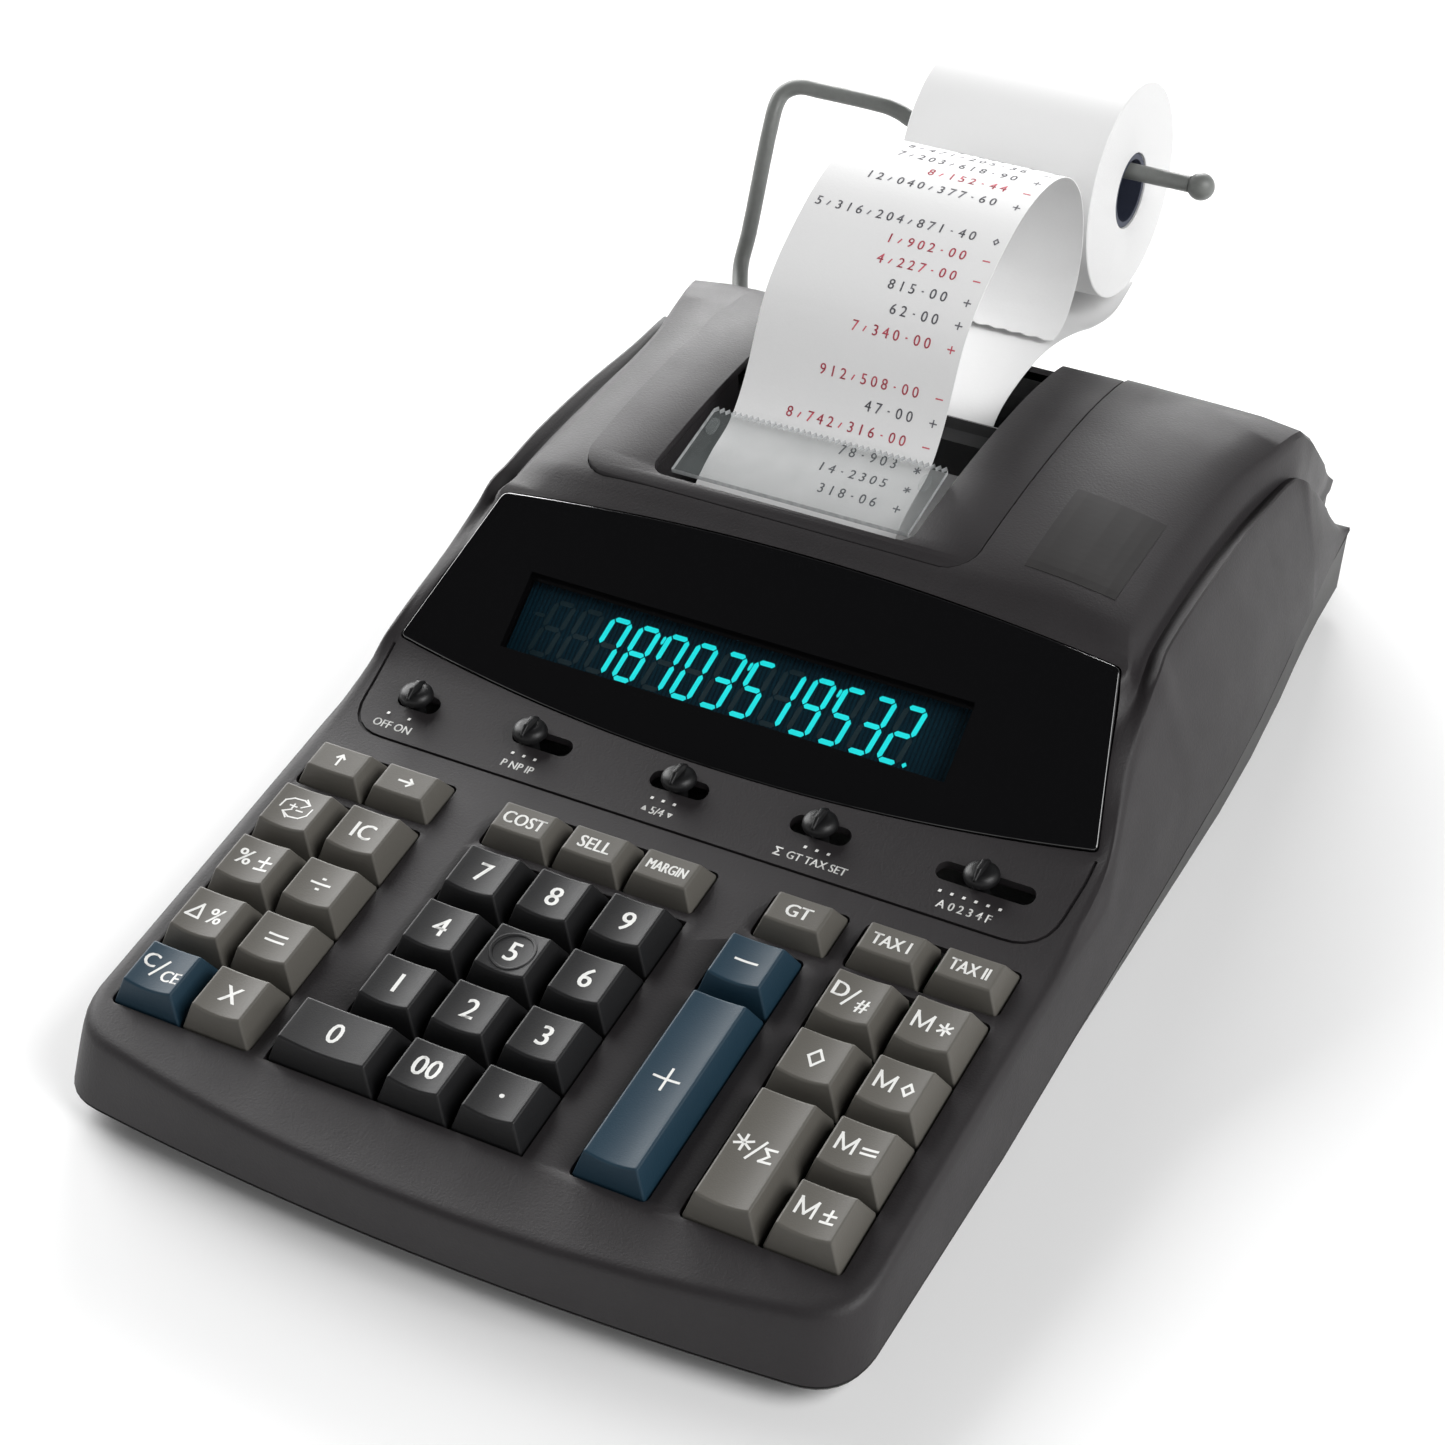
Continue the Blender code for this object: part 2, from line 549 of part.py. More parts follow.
# ------------------------------------------------------------------ display
bm = bmesh.new()
prism(bm, lens_outline(0.0), lens_point, LENS_PROUD - LENS_THICK, LENS_PROUD)
node("display_window", bm, lens_black)
bm = bmesh.new()
prism(bm, rounded(*TUBE, 1.5, 1), lens_point, *TUBE_DEPTHS)
node("display_tube", bm, tube_glass)

# ------------------------------------------------------------------ printer
def deck_z(y):
    """Height of the deck down the middle of the hump."""
    profile = [(row[len(row) // 2][1], row[len(row) // 2][2]) for row in case_rows()]
    for (a, p), (b, q) in zip(profile, profile[1:]):
        if a <= y <= b:
            return p + (q - p) * (y - a) / (b - a)
    return profile[-1][1]


COVER_THICK = 2.4
bm = bmesh.new()
grid = []
for y in (COVER_Y0, MOUTH_Y0, 48.0, 72.0, 98.0, 116.0, COVER_Y1):
    z = deck_z(y)
    a, d = (COVER_X0 + 6, COVER_X1 - 6) if y == COVER_Y0 else (COVER_X0, COVER_X1)
    grid.append([(a, y, z), (MOUTH_X0, y, z), (MOUTH_X1, y, z), (d, y, z)])
for low in (0.0, COVER_THICK):
    layer = [[bm.verts.new((x, y, z - low)) for x, y, z in row] for row in grid]
    for r in range(len(grid) - 1):
        for c in (0, 1, 2):
            if c == 1 and r > 0:
                continue
            bm.faces.new((layer[r][c], layer[r][c + 1], layer[r + 1][c + 1], layer[r + 1][c]))
    if low == 0.0:
        upper = layer
last = len(grid) - 1
path = ([(0, c) for c in range(4)] + [(r, 3) for r in range(1, last + 1)]
        + [(r, 2) for r in range(last, 0, -1)] + [(r, 1) for r in range(1, last + 1)]
        + [(r, 0) for r in range(last, 0, -1)])
for (r, c), (s, d) in zip(path, path[1:] + path[:1]):
    bm.faces.new((upper[r][c], upper[s][d], layer[s][d], layer[r][c]))
HINGE_Y, HINGE_Z = COVER_Y1 - 1.0, deck_z(COVER_Y1) - 1.2
node("printer_cover", bm, cover_black, origin=(0.0, HINGE_Y, HINGE_Z), smooth=35)

# Clear tear bar: sloping window with a toothed rear edge.
TEETH = 20
TEAR_X0, TEAR_X1 = -45.6, 21.4
TEAR_FRONT, TEAR_REAR = (37.0, 73.4), (60.0, 77.6)
TEAR_THICK = 1.2
bm = bmesh.new()
pitch = (TEAR_X1 - TEAR_X0) / TEETH
teeth = []
for i in range(TEETH):
    teeth += [(TEAR_X1 - i * pitch, TEAR_REAR[0]), (TEAR_X1 - (i + 0.5) * pitch, TEAR_REAR[0] + 1.2)]
teeth.append((TEAR_X0, TEAR_REAR[0]))
rise = (TEAR_REAR[1] - TEAR_FRONT[1]) / (TEAR_REAR[0] - TEAR_FRONT[0])
prism(bm, [(TEAR_X0, TEAR_FRONT[0]), (TEAR_X1, TEAR_FRONT[0])] + teeth,
      lambda x, y, h: (x, y, TEAR_FRONT[1] + rise * (y - TEAR_FRONT[0]) + h), 0.0, TEAR_THICK)
node("tear_bar", bm, clear)

# Chassis: base plate, two side plates, curved paper trough and the divider bar.
bm = bmesh.new()
FRAME_X0, FRAME_X1 = -56.0, 29.0
PLATE = 2.0
FRAME_LOW, FRAME_TOP = 12.0, 64.0
box(bm, FRAME_X0, FRAME_X1, FRAME_Y0, FRAME_Y1, FRAME_LOW, FRAME_LOW + PLATE)
frame = node("printer_frame", bm, frame_black, smooth=35)
for name, x0, x1 in (("plate_left", FRAME_X0, FRAME_X0 + PLATE),
                     ("plate_right", FRAME_X1 - PLATE, FRAME_X1)):
    bm = bmesh.new()
    box(bm, x0, x1, FRAME_Y0 + 0.5, FRAME_Y1 - 0.5, FRAME_LOW + 1.0, FRAME_TOP)
    combine(frame, cutter(name, bm), "UNION")
bm = bmesh.new()
trough = smooth_path([(124.0, 65.0), (112.0, 63.5), (103.0, 59.0), (98.5, 52.0), (97.0, 44.0)], 3)
strip(bm, trough, FRAME_X0 + 1.0, FRAME_X1 - 1.0, 1.8)
combine(frame, cutter("trough", bm), "UNION")
DIVIDER_Y0, DIVIDER_Y1 = 83.0, 89.5
bm = bmesh.new()
divider = [(DIVIDER_Y0, 60.0), (DIVIDER_Y1, 60.0), (DIVIDER_Y1, 73.5), (DIVIDER_Y1 - 1.8, 74.5),
           (DIVIDER_Y1 - 3.2, 72.0), (DIVIDER_Y0, 70.5)]
loft(bm, [[(x, y, z) for y, z in divider] for x in (FRAME_X0 + 6.0, FRAME_X1 - 6.0)])
combine(frame, cutter("divider", bm), "UNION")
for name, x0, x1 in (("lug_left", FRAME_X0 + 1.0, FRAME_X0 + 7.0),
                     ("lug_right", FRAME_X1 - 7.0, FRAME_X1 - 1.0)):
    bm = bmesh.new()
    box(bm, x0, x1, DIVIDER_Y0 + 1.0, DIVIDER_Y1 - 1.0, 58.0, 63.0)
    combine(frame, cutter(name, bm), "UNION")

bm = bmesh.new()
cylinder_x(bm, PLATEN_X0, PLATEN_X1, PLATEN_Y, PLATEN_Z, PLATEN_R, 20)
node("platen_roller", bm, rubber, origin=((PLATEN_X0 + PLATEN_X1) / 2, PLATEN_Y, PLATEN_Z),
     smooth=40)
for name, x in (("ribbon_spool_left", -34.0), ("ribbon_spool_right", 9.0)):
    bm = bmesh.new()
    profile = ((SPOOL_FLANGE_R, 0.0), (SPOOL_FLANGE_R, SPOOL_FLANGE), (SPOOL_HUB_R, SPOOL_FLANGE),
               (SPOOL_HUB_R, SPOOL_TALL - SPOOL_FLANGE),
               (SPOOL_FLANGE_R, SPOOL_TALL - SPOOL_FLANGE), (SPOOL_FLANGE_R, SPOOL_TALL))
    loft(bm, [[(x + a, SPOOL_Y + b, SPOOL_Z + z) for a, b in circle(r, 16)] for r, z in profile])
    node(name, bm, spool_grey, origin=(x, SPOOL_Y, SPOOL_Z), smooth=40)

# ------------------------------------------------------------------ paper
sheet_path = [(192.0, 57.9), (179.0, 55.6), (165.0, 59.0), (151.0, 64.8), (138.0, 69.0),
              (126.0, 71.0), (113.0, 70.8), (102.0, 68.5), (95.0, 63.0), (91.5, 55.0),
              (84.0, 47.5), (70.0, 43.0), (56.0, 41.4), (43.0, 43.6), (34.0, 49.0),
              (33.4, 58.0), (39.0, 67.0), (49.0, 72.6), (60.0, 76.2), (69.0, 84.5),
              (82.5, 103.5), (98.0, 113.6), (117.0, 120.4), (134.0, 120.6), (146.0, 115.6),
              (153.4, 106.0), (155.2, 93.5), (152.4, 82.0), (147.0, 74.6),
              (141.5, 71.4), (135.5, 71.2)]
bm = bmesh.new()
strip(bm, smooth_path(sheet_path, 2), PAPER_X0, PAPER_X1, PAPER_THICK)
node("paper_tape", bm, paper, smooth=60)

bm = bmesh.new()
cylinder_x(bm, PAPER_X0, PAPER_X1, ROLL_Y, ROLL_Z, ROLL_R, 48, bore=BORE_R)
node("paper_roll", bm, paper, origin=(0.0, ROLL_Y, ROLL_Z), smooth=40)
bm = bmesh.new()
cylinder_x(bm, PAPER_X0, PAPER_X1, ROLL_Y, ROLL_Z, CORE_R, 24, bore=CORE_BORE_R)
node("roll_core", bm, card, origin=(0.0, ROLL_Y, ROLL_Z), smooth=40)

# Wire arm: foot in the case, rising to a bend, then across and through the roll.
PIN_Z = ROLL_Z + CORE_BORE_R - WIRE_R - GAP
PIN_END = 33.0
arm_path = [ARM_FOOT, (-88.5, 151.0, 51.5), (ARM_X, 158.5, 55.5), (ARM_X, 164.0, 63.0),
            (ARM_X, 181.0, 92.0), (ARM_X + 0.8, 185.5, 97.0), (ARM_X + 5.0, 187.8, 99.2),
            (ARM_X + 12.0, ROLL_Y, 99.4), (-60.0, ROLL_Y, 99.2), (-55.0, ROLL_Y, 98.2),
            (-50.0, ROLL_Y, PIN_Z + 0.4), (-45.0, ROLL_Y, PIN_Z), (PIN_END, ROLL_Y, PIN_Z)]


def rod(bm, path, radius, sides, knob=None):
    """Round wire along a path, optionally ending in a ball."""
    loops, last = [], len(path) - 1
    up = Vector((0.0, 0.0, 1.0))
    for i, point in enumerate(path):
        ahead = (Vector(path[min(i + 1, last)]) - Vector(path[max(i - 1, 0)])).normalized()
        side = ahead.cross(up).normalized()
        over = side.cross(ahead)
        loops.append([Vector(point) + side * a + over * b for a, b in circle(radius, sides)])
    if knob is not None:
        centre = Vector(path[-1]) + ahead * math.sqrt(knob ** 2 - radius ** 2)
        start = math.asin(radius / knob)
        for k in range(1, 6):
            angle = start + (math.pi - 0.35 - start) * k / 5
            loops.append([centre - ahead * knob * math.cos(angle)
                          + (side * a + over * b) * knob * math.sin(angle)
                          for a, b in circle(1.0, sides)])
    loft(bm, loops)


bm = bmesh.new()
rod(bm, arm_path, WIRE_R, 10, knob=BALL_R)
node("roll_arm", bm, wire, smooth=50)
bm = bmesh.new()
loft(bm, [[Vector(ARM_FOOT) + Vector((-4.5, 8.0, 2.0)) * t
           + Vector((0.0, -0.24, 0.97)) * b + Vector((0.87, 0.49, 0.0)) * a
           for a, b in circle(WIRE_R + GAP, 12)] for t in (-1.5, 1.5)])
combine(top_case, cutter("arm_socket", bm), "DIFFERENCE")

# ------------------------------------------------------------------ transformer
bm = bmesh.new()
box(bm, *TRANSFORMER, FLOOR_Z + FLOOR_THICK + GAP, TRANSFORMER_TOP)
node("transformer", bm, steel)
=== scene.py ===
import math

import bmesh
import bpy
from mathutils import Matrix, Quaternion, Vector


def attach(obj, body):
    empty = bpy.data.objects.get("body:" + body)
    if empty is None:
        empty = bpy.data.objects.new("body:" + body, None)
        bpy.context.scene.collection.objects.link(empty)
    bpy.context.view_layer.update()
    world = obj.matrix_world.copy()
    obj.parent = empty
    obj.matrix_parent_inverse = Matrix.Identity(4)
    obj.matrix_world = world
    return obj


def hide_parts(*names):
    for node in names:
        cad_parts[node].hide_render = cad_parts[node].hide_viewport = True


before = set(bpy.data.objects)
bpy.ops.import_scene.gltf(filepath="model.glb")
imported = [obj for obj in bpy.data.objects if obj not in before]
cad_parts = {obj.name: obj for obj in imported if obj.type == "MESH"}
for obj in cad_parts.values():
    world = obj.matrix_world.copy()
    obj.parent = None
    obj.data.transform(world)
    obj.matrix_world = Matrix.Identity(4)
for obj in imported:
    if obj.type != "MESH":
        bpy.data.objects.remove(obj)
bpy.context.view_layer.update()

# ---------------------------------------------------------------- bottom case
# The lower half of the case: a shallow tray injection moulded in dark grey ABS
# with a spark-eroded texture, screwed to the top half from below.
MM = 0.001
CENTRE_Y = 24.75            # the drawing's y is this far from the middle of the machine
GAP = 0.3
WALL = 2.4
HALF_WIDTH = 104.5
FLOOR_Z = 3.0


class Wire:
    """One node output, so that arithmetic on it reads as arithmetic."""

    def __init__(self, bench, socket):
        self.bench, self.socket = bench, socket

    def _do(self, operation, a, b=0.0):
        return self.bench.add("ShaderNodeMath", {"operation": operation}, {0: a, 1: b})

    def __add__(self, other):
        return self._do("ADD", self, other)

    def __sub__(self, other):
        return self._do("SUBTRACT", self, other)

    def __rsub__(self, other):
        return self._do("SUBTRACT", other, self)

    def __mul__(self, other):
        return self._do("MULTIPLY", self, other)

    def __gt__(self, other):
        return self._do("GREATER_THAN", self, other)

    def __lt__(self, other):
        return self._do("LESS_THAN", self, other)

    def sine(self):
        return self._do("SINE", self)

    __radd__, __rmul__ = __add__, __mul__


class Bench:
    """A node tree that nodes are added to one by one."""

    def add(self, kind, settings, inputs, out=0):
        node = self.tree.nodes.new(kind)
        for key, value in settings.items():
            if key == "stops":
                for i, (place, colour) in enumerate(value):
                    ramp = node.color_ramp.elements
                    stop = ramp[i] if i < len(ramp) else ramp.new(place)
                    stop.position, stop.color = place, (*colour, 1.0)
            else:
                setattr(node, key, value)
        for key, value in inputs.items():
            self.feed(node.inputs[key], value)
        return Wire(self, node.outputs[out])

    def feed(self, socket, value):
        if isinstance(value, Wire):
            self.tree.links.new(value.socket, socket)
        else:
            socket.default_value = value


class Finish(Bench):
    """A surface finish around one Principled shader."""

    def __init__(self, name, **sockets):
        self.material = bpy.data.materials.new(name)
        self.material.use_nodes = True
        self.tree = self.material.node_tree
        self.shader = self.tree.nodes["Principled BSDF"]
        self.place = self.add("ShaderNodeTexCoord", {}, {}, "Object")
        self.set(**sockets)

    def set(self, **sockets):
        for key, value in sockets.items():
            self.feed(self.shader.inputs[key.replace("_", " ")], value)

    def noise(self, scale, detail=2.0, roughness=0.5, seed=0.0):
        shifted = self.add("ShaderNodeVectorMath", {"operation": "ADD"},
                           {0: self.place, 1: (seed, seed * 0.7, seed * 1.3)})
        return self.add("ShaderNodeTexNoise", {}, {"Vector": shifted, "Scale": scale,
                                                   "Detail": detail, "Roughness": roughness})

    def mix(self, amount, one, two):
        return self.add("ShaderNodeMix", {"data_type": "RGBA"}, {0: amount, 6: one, 7: two}, 2)

    def axis(self, which):
        return self.add("ShaderNodeSeparateXYZ", {}, {0: self.place}, which)

    def relief(self, height, depth, strength=1.0):
        bump = self.add("ShaderNodeBump", {}, {"Height": height, "Distance": depth,
                                               "Strength": strength})
        self.set(Normal=bump)


def moulded(name, colour, rough=0.5, grain=1500.0, depth=0.00006, spread=0.16):
    """Textured moulding: fine eroded grain, faint cloudiness and handling polish."""
    finish = Finish(name, Specular_IOR_Level=0.36)
    cloud, grit = finish.noise(22.0, 3.0), finish.noise(grain, 2.0, 0.6, 3.0)
    handled = finish.noise(55.0, 4.0, 0.65, 7.0)
    dark = (*[c * (1 - spread) for c in colour], 1.0)
    light = (*[c * (1 + spread) for c in colour], 1.0)
    finish.set(Base_Color=finish.mix(cloud * 0.6 + grit * 0.4, dark, light),
               Roughness=handled * 0.16 + grit * 0.1 + (rough - 0.13))
    finish.relief(grit, depth)
    return finish.material


def turn(steps):
    """Evenly spaced angles of one full turn."""
    return [math.tau * i / steps for i in range(steps)]


def settle(obj):
    """Make the modifiers part of the mesh."""
    graph = bpy.context.evaluated_depsgraph_get()
    mesh = bpy.data.meshes.new_from_object(obj.evaluated_get(graph))
    obj.modifiers.clear()
    obj.data = mesh
    return obj


def piece(name, bm, finishes, smooth=35, bevel=0.0, segments=2, weld=True):
    """Turn a mesh drawn in millimetres into an object that sits at the origin."""
    if weld:
        bmesh.ops.remove_doubles(bm, verts=bm.verts, dist=0.001)
        bmesh.ops.recalc_face_normals(bm, faces=bm.faces)
    for vert in bm.verts:
        vert.co = (vert.co - Vector((0.0, CENTRE_Y, 0.0))) * MM
    mesh = bpy.data.meshes.new(name)
    bm.to_mesh(mesh)
    bm.free()
    obj = bpy.data.objects.new(name, mesh)
    bpy.context.scene.collection.objects.link(obj)
    for finish in finishes:
        mesh.materials.append(finish)
    mesh.shade_smooth()
    if bevel:
        round_over = obj.modifiers.new("round_over", "BEVEL")
        round_over.width, round_over.segments = bevel * MM, segments
        round_over.limit_method, round_over.angle_limit = "ANGLE", math.radians(28)
        weigh = obj.modifiers.new("weigh", "WEIGHTED_NORMAL")
        weigh.keep_sharp = True
        settle(obj)
    if smooth is not None:
        obj.data.set_sharp_from_angle(angle=math.radians(smooth))
    return obj


def fit(obj, body, slot, *nodes):
    """Put a finished piece on its body in place of its plain nodes."""
    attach(obj, body)
    if nodes:
        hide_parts(*nodes)
    return obj


def skin(bm, loops, closed=True, caps=True):
    """Skin equally long loops of points, with flat ends."""
    rings = [[bm.verts.new(p) for p in loop] for loop in loops]
    count = len(rings[0])
    for a, b in zip(rings, rings[1:]):
        for i in range(count if closed else count - 1):
            j = (i + 1) % count
            bm.faces.new((a[i], a[j], b[j], b[i]))
    if caps:
        bm.faces.new(list(reversed(rings[0])))
        bm.faces.new(rings[-1])
    return rings


def seam_z(y):
    """The line where the halves meet climbs towards the rear."""
    return 7.5 if y < -85 else 7.5 + (min(y, 151.5) + 85) * 0.0705


def bend(a, b, c, steps):
    """Rounded corner from a to c about b."""
    return [tuple((1 - t) ** 2 * p + 2 * t * (1 - t) * q + t * t * r for p, q, r in zip(a, b, c))
            for t in [i / steps for i in range(steps + 1)]]


FRONT_Y = -168.5
CORNER = 13.0


def front_curve(width, front, bow):
    """Right half of the bowed front with its corner, from the middle round to the side."""
    edge = lambda x: front + bow * (x / 95.0) ** 2
    xs = [i * (width - CORNER) / 8 for i in range(8)]
    near, side = width - CORNER, edge(width) + CORNER
    return ([(x, edge(x)) for x in xs]
            + bend((near, edge(near)), (width - 0.8, edge(width - 0.8)), (width, side), 8))


right = front_curve(HALF_WIDTH, FRONT_Y, 5.0)
right += [(HALF_WIDTH, y) for y in (-128.0, -105.0, -85.0, -65.0, -46.0, -22.0, 2.0, 26.0, 48.0)]
right += [(103.6, 72.0), (101.6, 98.0), (100.1, 112.0), (99.2, 122.0), (98.4, 134.0), (97.8, 151.5),
          (92.8, 151.5), (88.6, 152.2), (86.6, 155.0), (85.8, 168.0), (84.0, 170.3),
          (56.0, 170.5), (28.0, 170.5), (0.0, 170.5)]
SEAM = 0.6
rim = [(x, y, seam_z(y) - SEAM) for x, y in right]
rim += [(-x, y, z) for x, y, z in reversed(rim[1:-1])]


def inset(points, distance, z_of):
    """Move a plan outline inwards."""
    out, count = [], len(points)
    for i, p in enumerate(points):
        a, b = points[i - 1], points[(i + 1) % count]
        one = Vector((p[1] - a[1], a[0] - p[0])).normalized()
        two = Vector((b[1] - p[1], p[0] - b[0])).normalized()
        normal = (one + two).normalized()
        reach = distance / max(0.6, normal.dot(one))
        out.append((p[0] - normal.x * reach, p[1] - normal.y * reach, z_of(p)))
    return out


base_grey = moulded("base_plastic", (0.046, 0.046, 0.045), 0.56)
bm = bmesh.new()
skin(bm, [inset(rim, 4.6, lambda p: FLOOR_Z), inset(rim, 3.0, lambda p: FLOOR_Z + 0.5),
          inset(rim, 1.9, lambda p: FLOOR_Z + 1.8), inset(rim, 0.5, lambda p: p[2] - 0.9), rim,
          inset(rim, WALL, lambda p: p[2]), inset(rim, 5.4, lambda p: FLOOR_Z + 2.4)])
fit(piece("bottom_shell", bm, [base_grey], smooth=50), "case", "base_plastic", "bottom_case")

# -------------------------------------------------------- screws under the case
# Six self-tapping screws hold the halves together. Only their round heads show,
# standing a little below the floor of the tray.
class Pattern(Bench):
    """A geometry tree with named inputs for its sizes."""

    KINDS = {int: "NodeSocketInt", float: "NodeSocketFloat", tuple: "NodeSocketVector",
             bpy.types.Material: "NodeSocketMaterial"}

    def __init__(self, name, **inputs):
        self.tree = bpy.data.node_groups.new(name, "GeometryNodeTree")
        face = self.tree.interface
        face.new_socket("Geometry", in_out="INPUT", socket_type="NodeSocketGeometry")
        self.values = {}
        for key, value in inputs.items():
            item = face.new_socket(key, in_out="INPUT", socket_type=self.KINDS[type(value)])
            self.values[item.identifier] = value
        face.new_socket("Geometry", in_out="OUTPUT", socket_type="NodeSocketGeometry")
        self.given = self.tree.nodes.new("NodeGroupInput")

    def input(self, name):
        return Wire(self, self.given.outputs[name])

    def finish(self, shape, material):
        real = self.add("GeometryNodeRealizeInstances", {}, {0: shape})
        done = self.add("GeometryNodeSetMaterial", {}, {"Geometry": real, "Material": material})
        self.feed(self.tree.nodes.new("NodeGroupOutput").inputs[0], done)

    def run(self, name, points, edges=()):
        """Grow the pattern on points or a line given in millimetres."""
        mesh = bpy.data.meshes.new(name)
        mesh.from_pydata([(Vector(p) - Vector((0.0, CENTRE_Y, 0.0))) * MM for p in points],
                         list(edges), [])
        obj = bpy.data.objects.new(name, mesh)
        bpy.context.scene.collection.objects.link(obj)
        grow = obj.modifiers.new("grow", "NODES")
        grow.node_group = self.tree
        for key, value in self.values.items():
            grow[key] = value
        settle(obj)
        obj.data.shade_smooth()
        obj.data.set_sharp_from_angle(angle=math.radians(40))
        return obj


def speckled(name, scale, one, two, depth, rough=None, detail=3.0, sharp=0.5, **sockets):
    """A finish whose colour, relief and sheen follow one fine speckle."""
    finish = Finish(name, **sockets)
    speck = finish.noise(scale, detail, sharp)
    finish.set(Base_Color=finish.mix(speck, (*one, 1), (*two, 1)))
    if rough:
        finish.set(Roughness=speck * rough[0] + rough[1])
    finish.relief(speck, depth)
    return finish.material


steel = speckled("screw_steel", 900.0, (0.16, 0.16, 0.17), (0.30, 0.30, 0.31), 0.00003, (0.3, 0.25),
                 Metallic=1.0)
heads = Pattern("screw_heads", Radius=2.6 * MM, Height=0.5 * MM, Finish=steel)
head = heads.add("GeometryNodeMeshCylinder", {}, {"Vertices": 20, "Radius": heads.input("Radius"),
                                                  "Depth": heads.input("Height")})
placed = heads.add("GeometryNodeInstanceOnPoints", {}, {"Points": heads.input("Geometry"),
                                                        "Instance": head})
heads.finish(placed, heads.input("Finish"))
fit(heads.run("case_screws", [(x, y, FLOOR_Z - 0.2) for x in (-80.0, 80.0)
                              for y in (-120.0, 0.0, 118.0)]), "case", "transformer_steel")

# -------------------------------------------------------------------- top case
# The upper half: one large charcoal moulding that carries the keyboard slab, the
# display slope and the printer hump, with side wings folded over its flanks.
TILT = math.radians(5.5)
KEY_Y, KEY_Z = -99.4, 35.2
PANEL_DEPTH = 6.45
KEY_FOOT = 9.6
ROW = 18.95
ROWS = (2.01 * ROW, ROW, 0.0, -ROW, -2 * ROW)
LEFT_X, DIGIT_X, RIGHT_X = (-87.2, -67.6), (-33.6, -13.8, 6.0), (65.1, 84.9)
PLUS_X, GT_X, ZERO_X, ZERO_WIDTH = 37.5, 41.0, -38.6, 28.4
LENS_SLOPE = math.atan(0.65)
LENS_Z0 = 53.5
SLOPE_FROM = -105.0
SHELL = 2.0


def key_point(x, v, h):
    """Keyboard frame: v up the rows, h above the key tops."""
    return Vector((x, KEY_Y + v * math.cos(TILT) - h * math.sin(TILT),
                   KEY_Z + v * math.sin(TILT) + h * math.cos(TILT)))


def lens_point(x, y, h):
    """Display frame: h along the normal of the display slope."""
    return Vector((x, y - h * math.sin(LENS_SLOPE),
                   LENS_Z0 + math.tan(LENS_SLOPE) * y + h * math.cos(LENS_SLOPE)))


def panel_z(y):
    return 38.3 + math.tan(TILT) * y


def curve_through(points, steps, straight_from=None):
    """Smooth line through points, its tangents weighed by their spacing."""
    pts = [Vector(p) for p in points]
    size = [max((b - a).length, 1e-6) for a, b in zip(pts, pts[1:])]
    slope = [(pts[1] - pts[0]) / size[0]]
    slope += [(c - a) / (p + q) for a, c, p, q in zip(pts, pts[2:], size, size[1:])]
    slope.append((pts[-1] - pts[-2]) / size[-1])
    out = []
    for i, length in enumerate(size):
        for k in range(steps):
            t = k / steps
            if straight_from is not None and i >= straight_from:
                out.append(pts[i].lerp(pts[i + 1], t))
                continue
            out.append((2 * t ** 3 - 3 * t * t + 1) * pts[i] + (3 * t * t - 2 * t ** 3) * pts[i + 1]
                       + length * ((t ** 3 - 2 * t * t + t) * slope[i]
                                   + (t ** 3 - t * t) * slope[i + 1]))
    return out + [pts[-1]]


def slab_row(y, rise=0.0):
    """Right half of a row across the flat slab, seam to middle; the edge is a small round."""
    z, low = panel_z(y) + rise, seam_z(y)
    side = [(HALF_WIDTH, low), (HALF_WIDTH - 0.6, low + 0.55 * (z - low)), (HALF_WIDTH - 1.2, z - 2.8),
            (HALF_WIDTH - 1.9, z - 1.0), (HALF_WIDTH - 3.4, z - 0.1), (HALF_WIDTH - 6.5, z),
            (HALF_WIDTH - 12.5, z), (HALF_WIDTH - 19.0, z)]
    return [(x, y, h) for x, h in side + [(76.0, z), (56.0, z), (28.0, z), (0.0, z)]]


def display_row(y, flank, crest, side):
    z, low, (cx, cz) = LENS_Z0 + math.tan(LENS_SLOPE) * y, seam_z(y), crest
    return [(HALF_WIDTH, y, low), (HALF_WIDTH - 0.4, y, low + 0.5 * (flank - low)),
            (HALF_WIDTH - 1.6, y, flank), (cx + 1.6, y, cz - 2.5), (cx, y, cz),
            (cx - 1.5, y, 0.5 * (cz + z)), (side, y, z), (side - 3, y, z),
            (76.0, y, z), (56.0, y, z), (28.0, y, z), (0.0, y, z)]


def hump_row(y, flank, crest, valley, edge, deck, width=HALF_WIDTH, back=0.0):
    """One row of the printer hump; back > 0 pulls the side wing forward."""
    low, (cx, cz), (vx, vz), (ex, ez) = seam_z(y - back), crest, valley, edge
    return [(width, y - back, low), (width - 0.4, y - back, low + 0.5 * (flank - low)),
            (width - 2.4, y - back, flank),
            (cx + 0.45 * (width - 2.4 - cx), y - back, cz - 0.4 * (cz - flank)), (cx, y - back, cz),
            (cx - 2.2, y - back, cz - 0.35 * (cz - vz)), (vx, y - 0.9 * back, vz),
            (vx - 1.4, y, vz + 0.4 * (ez - vz)), (ex, y, ez),
            (56.0, y, deck - 0.4), (28.0, y, deck), (0.0, y, deck)]


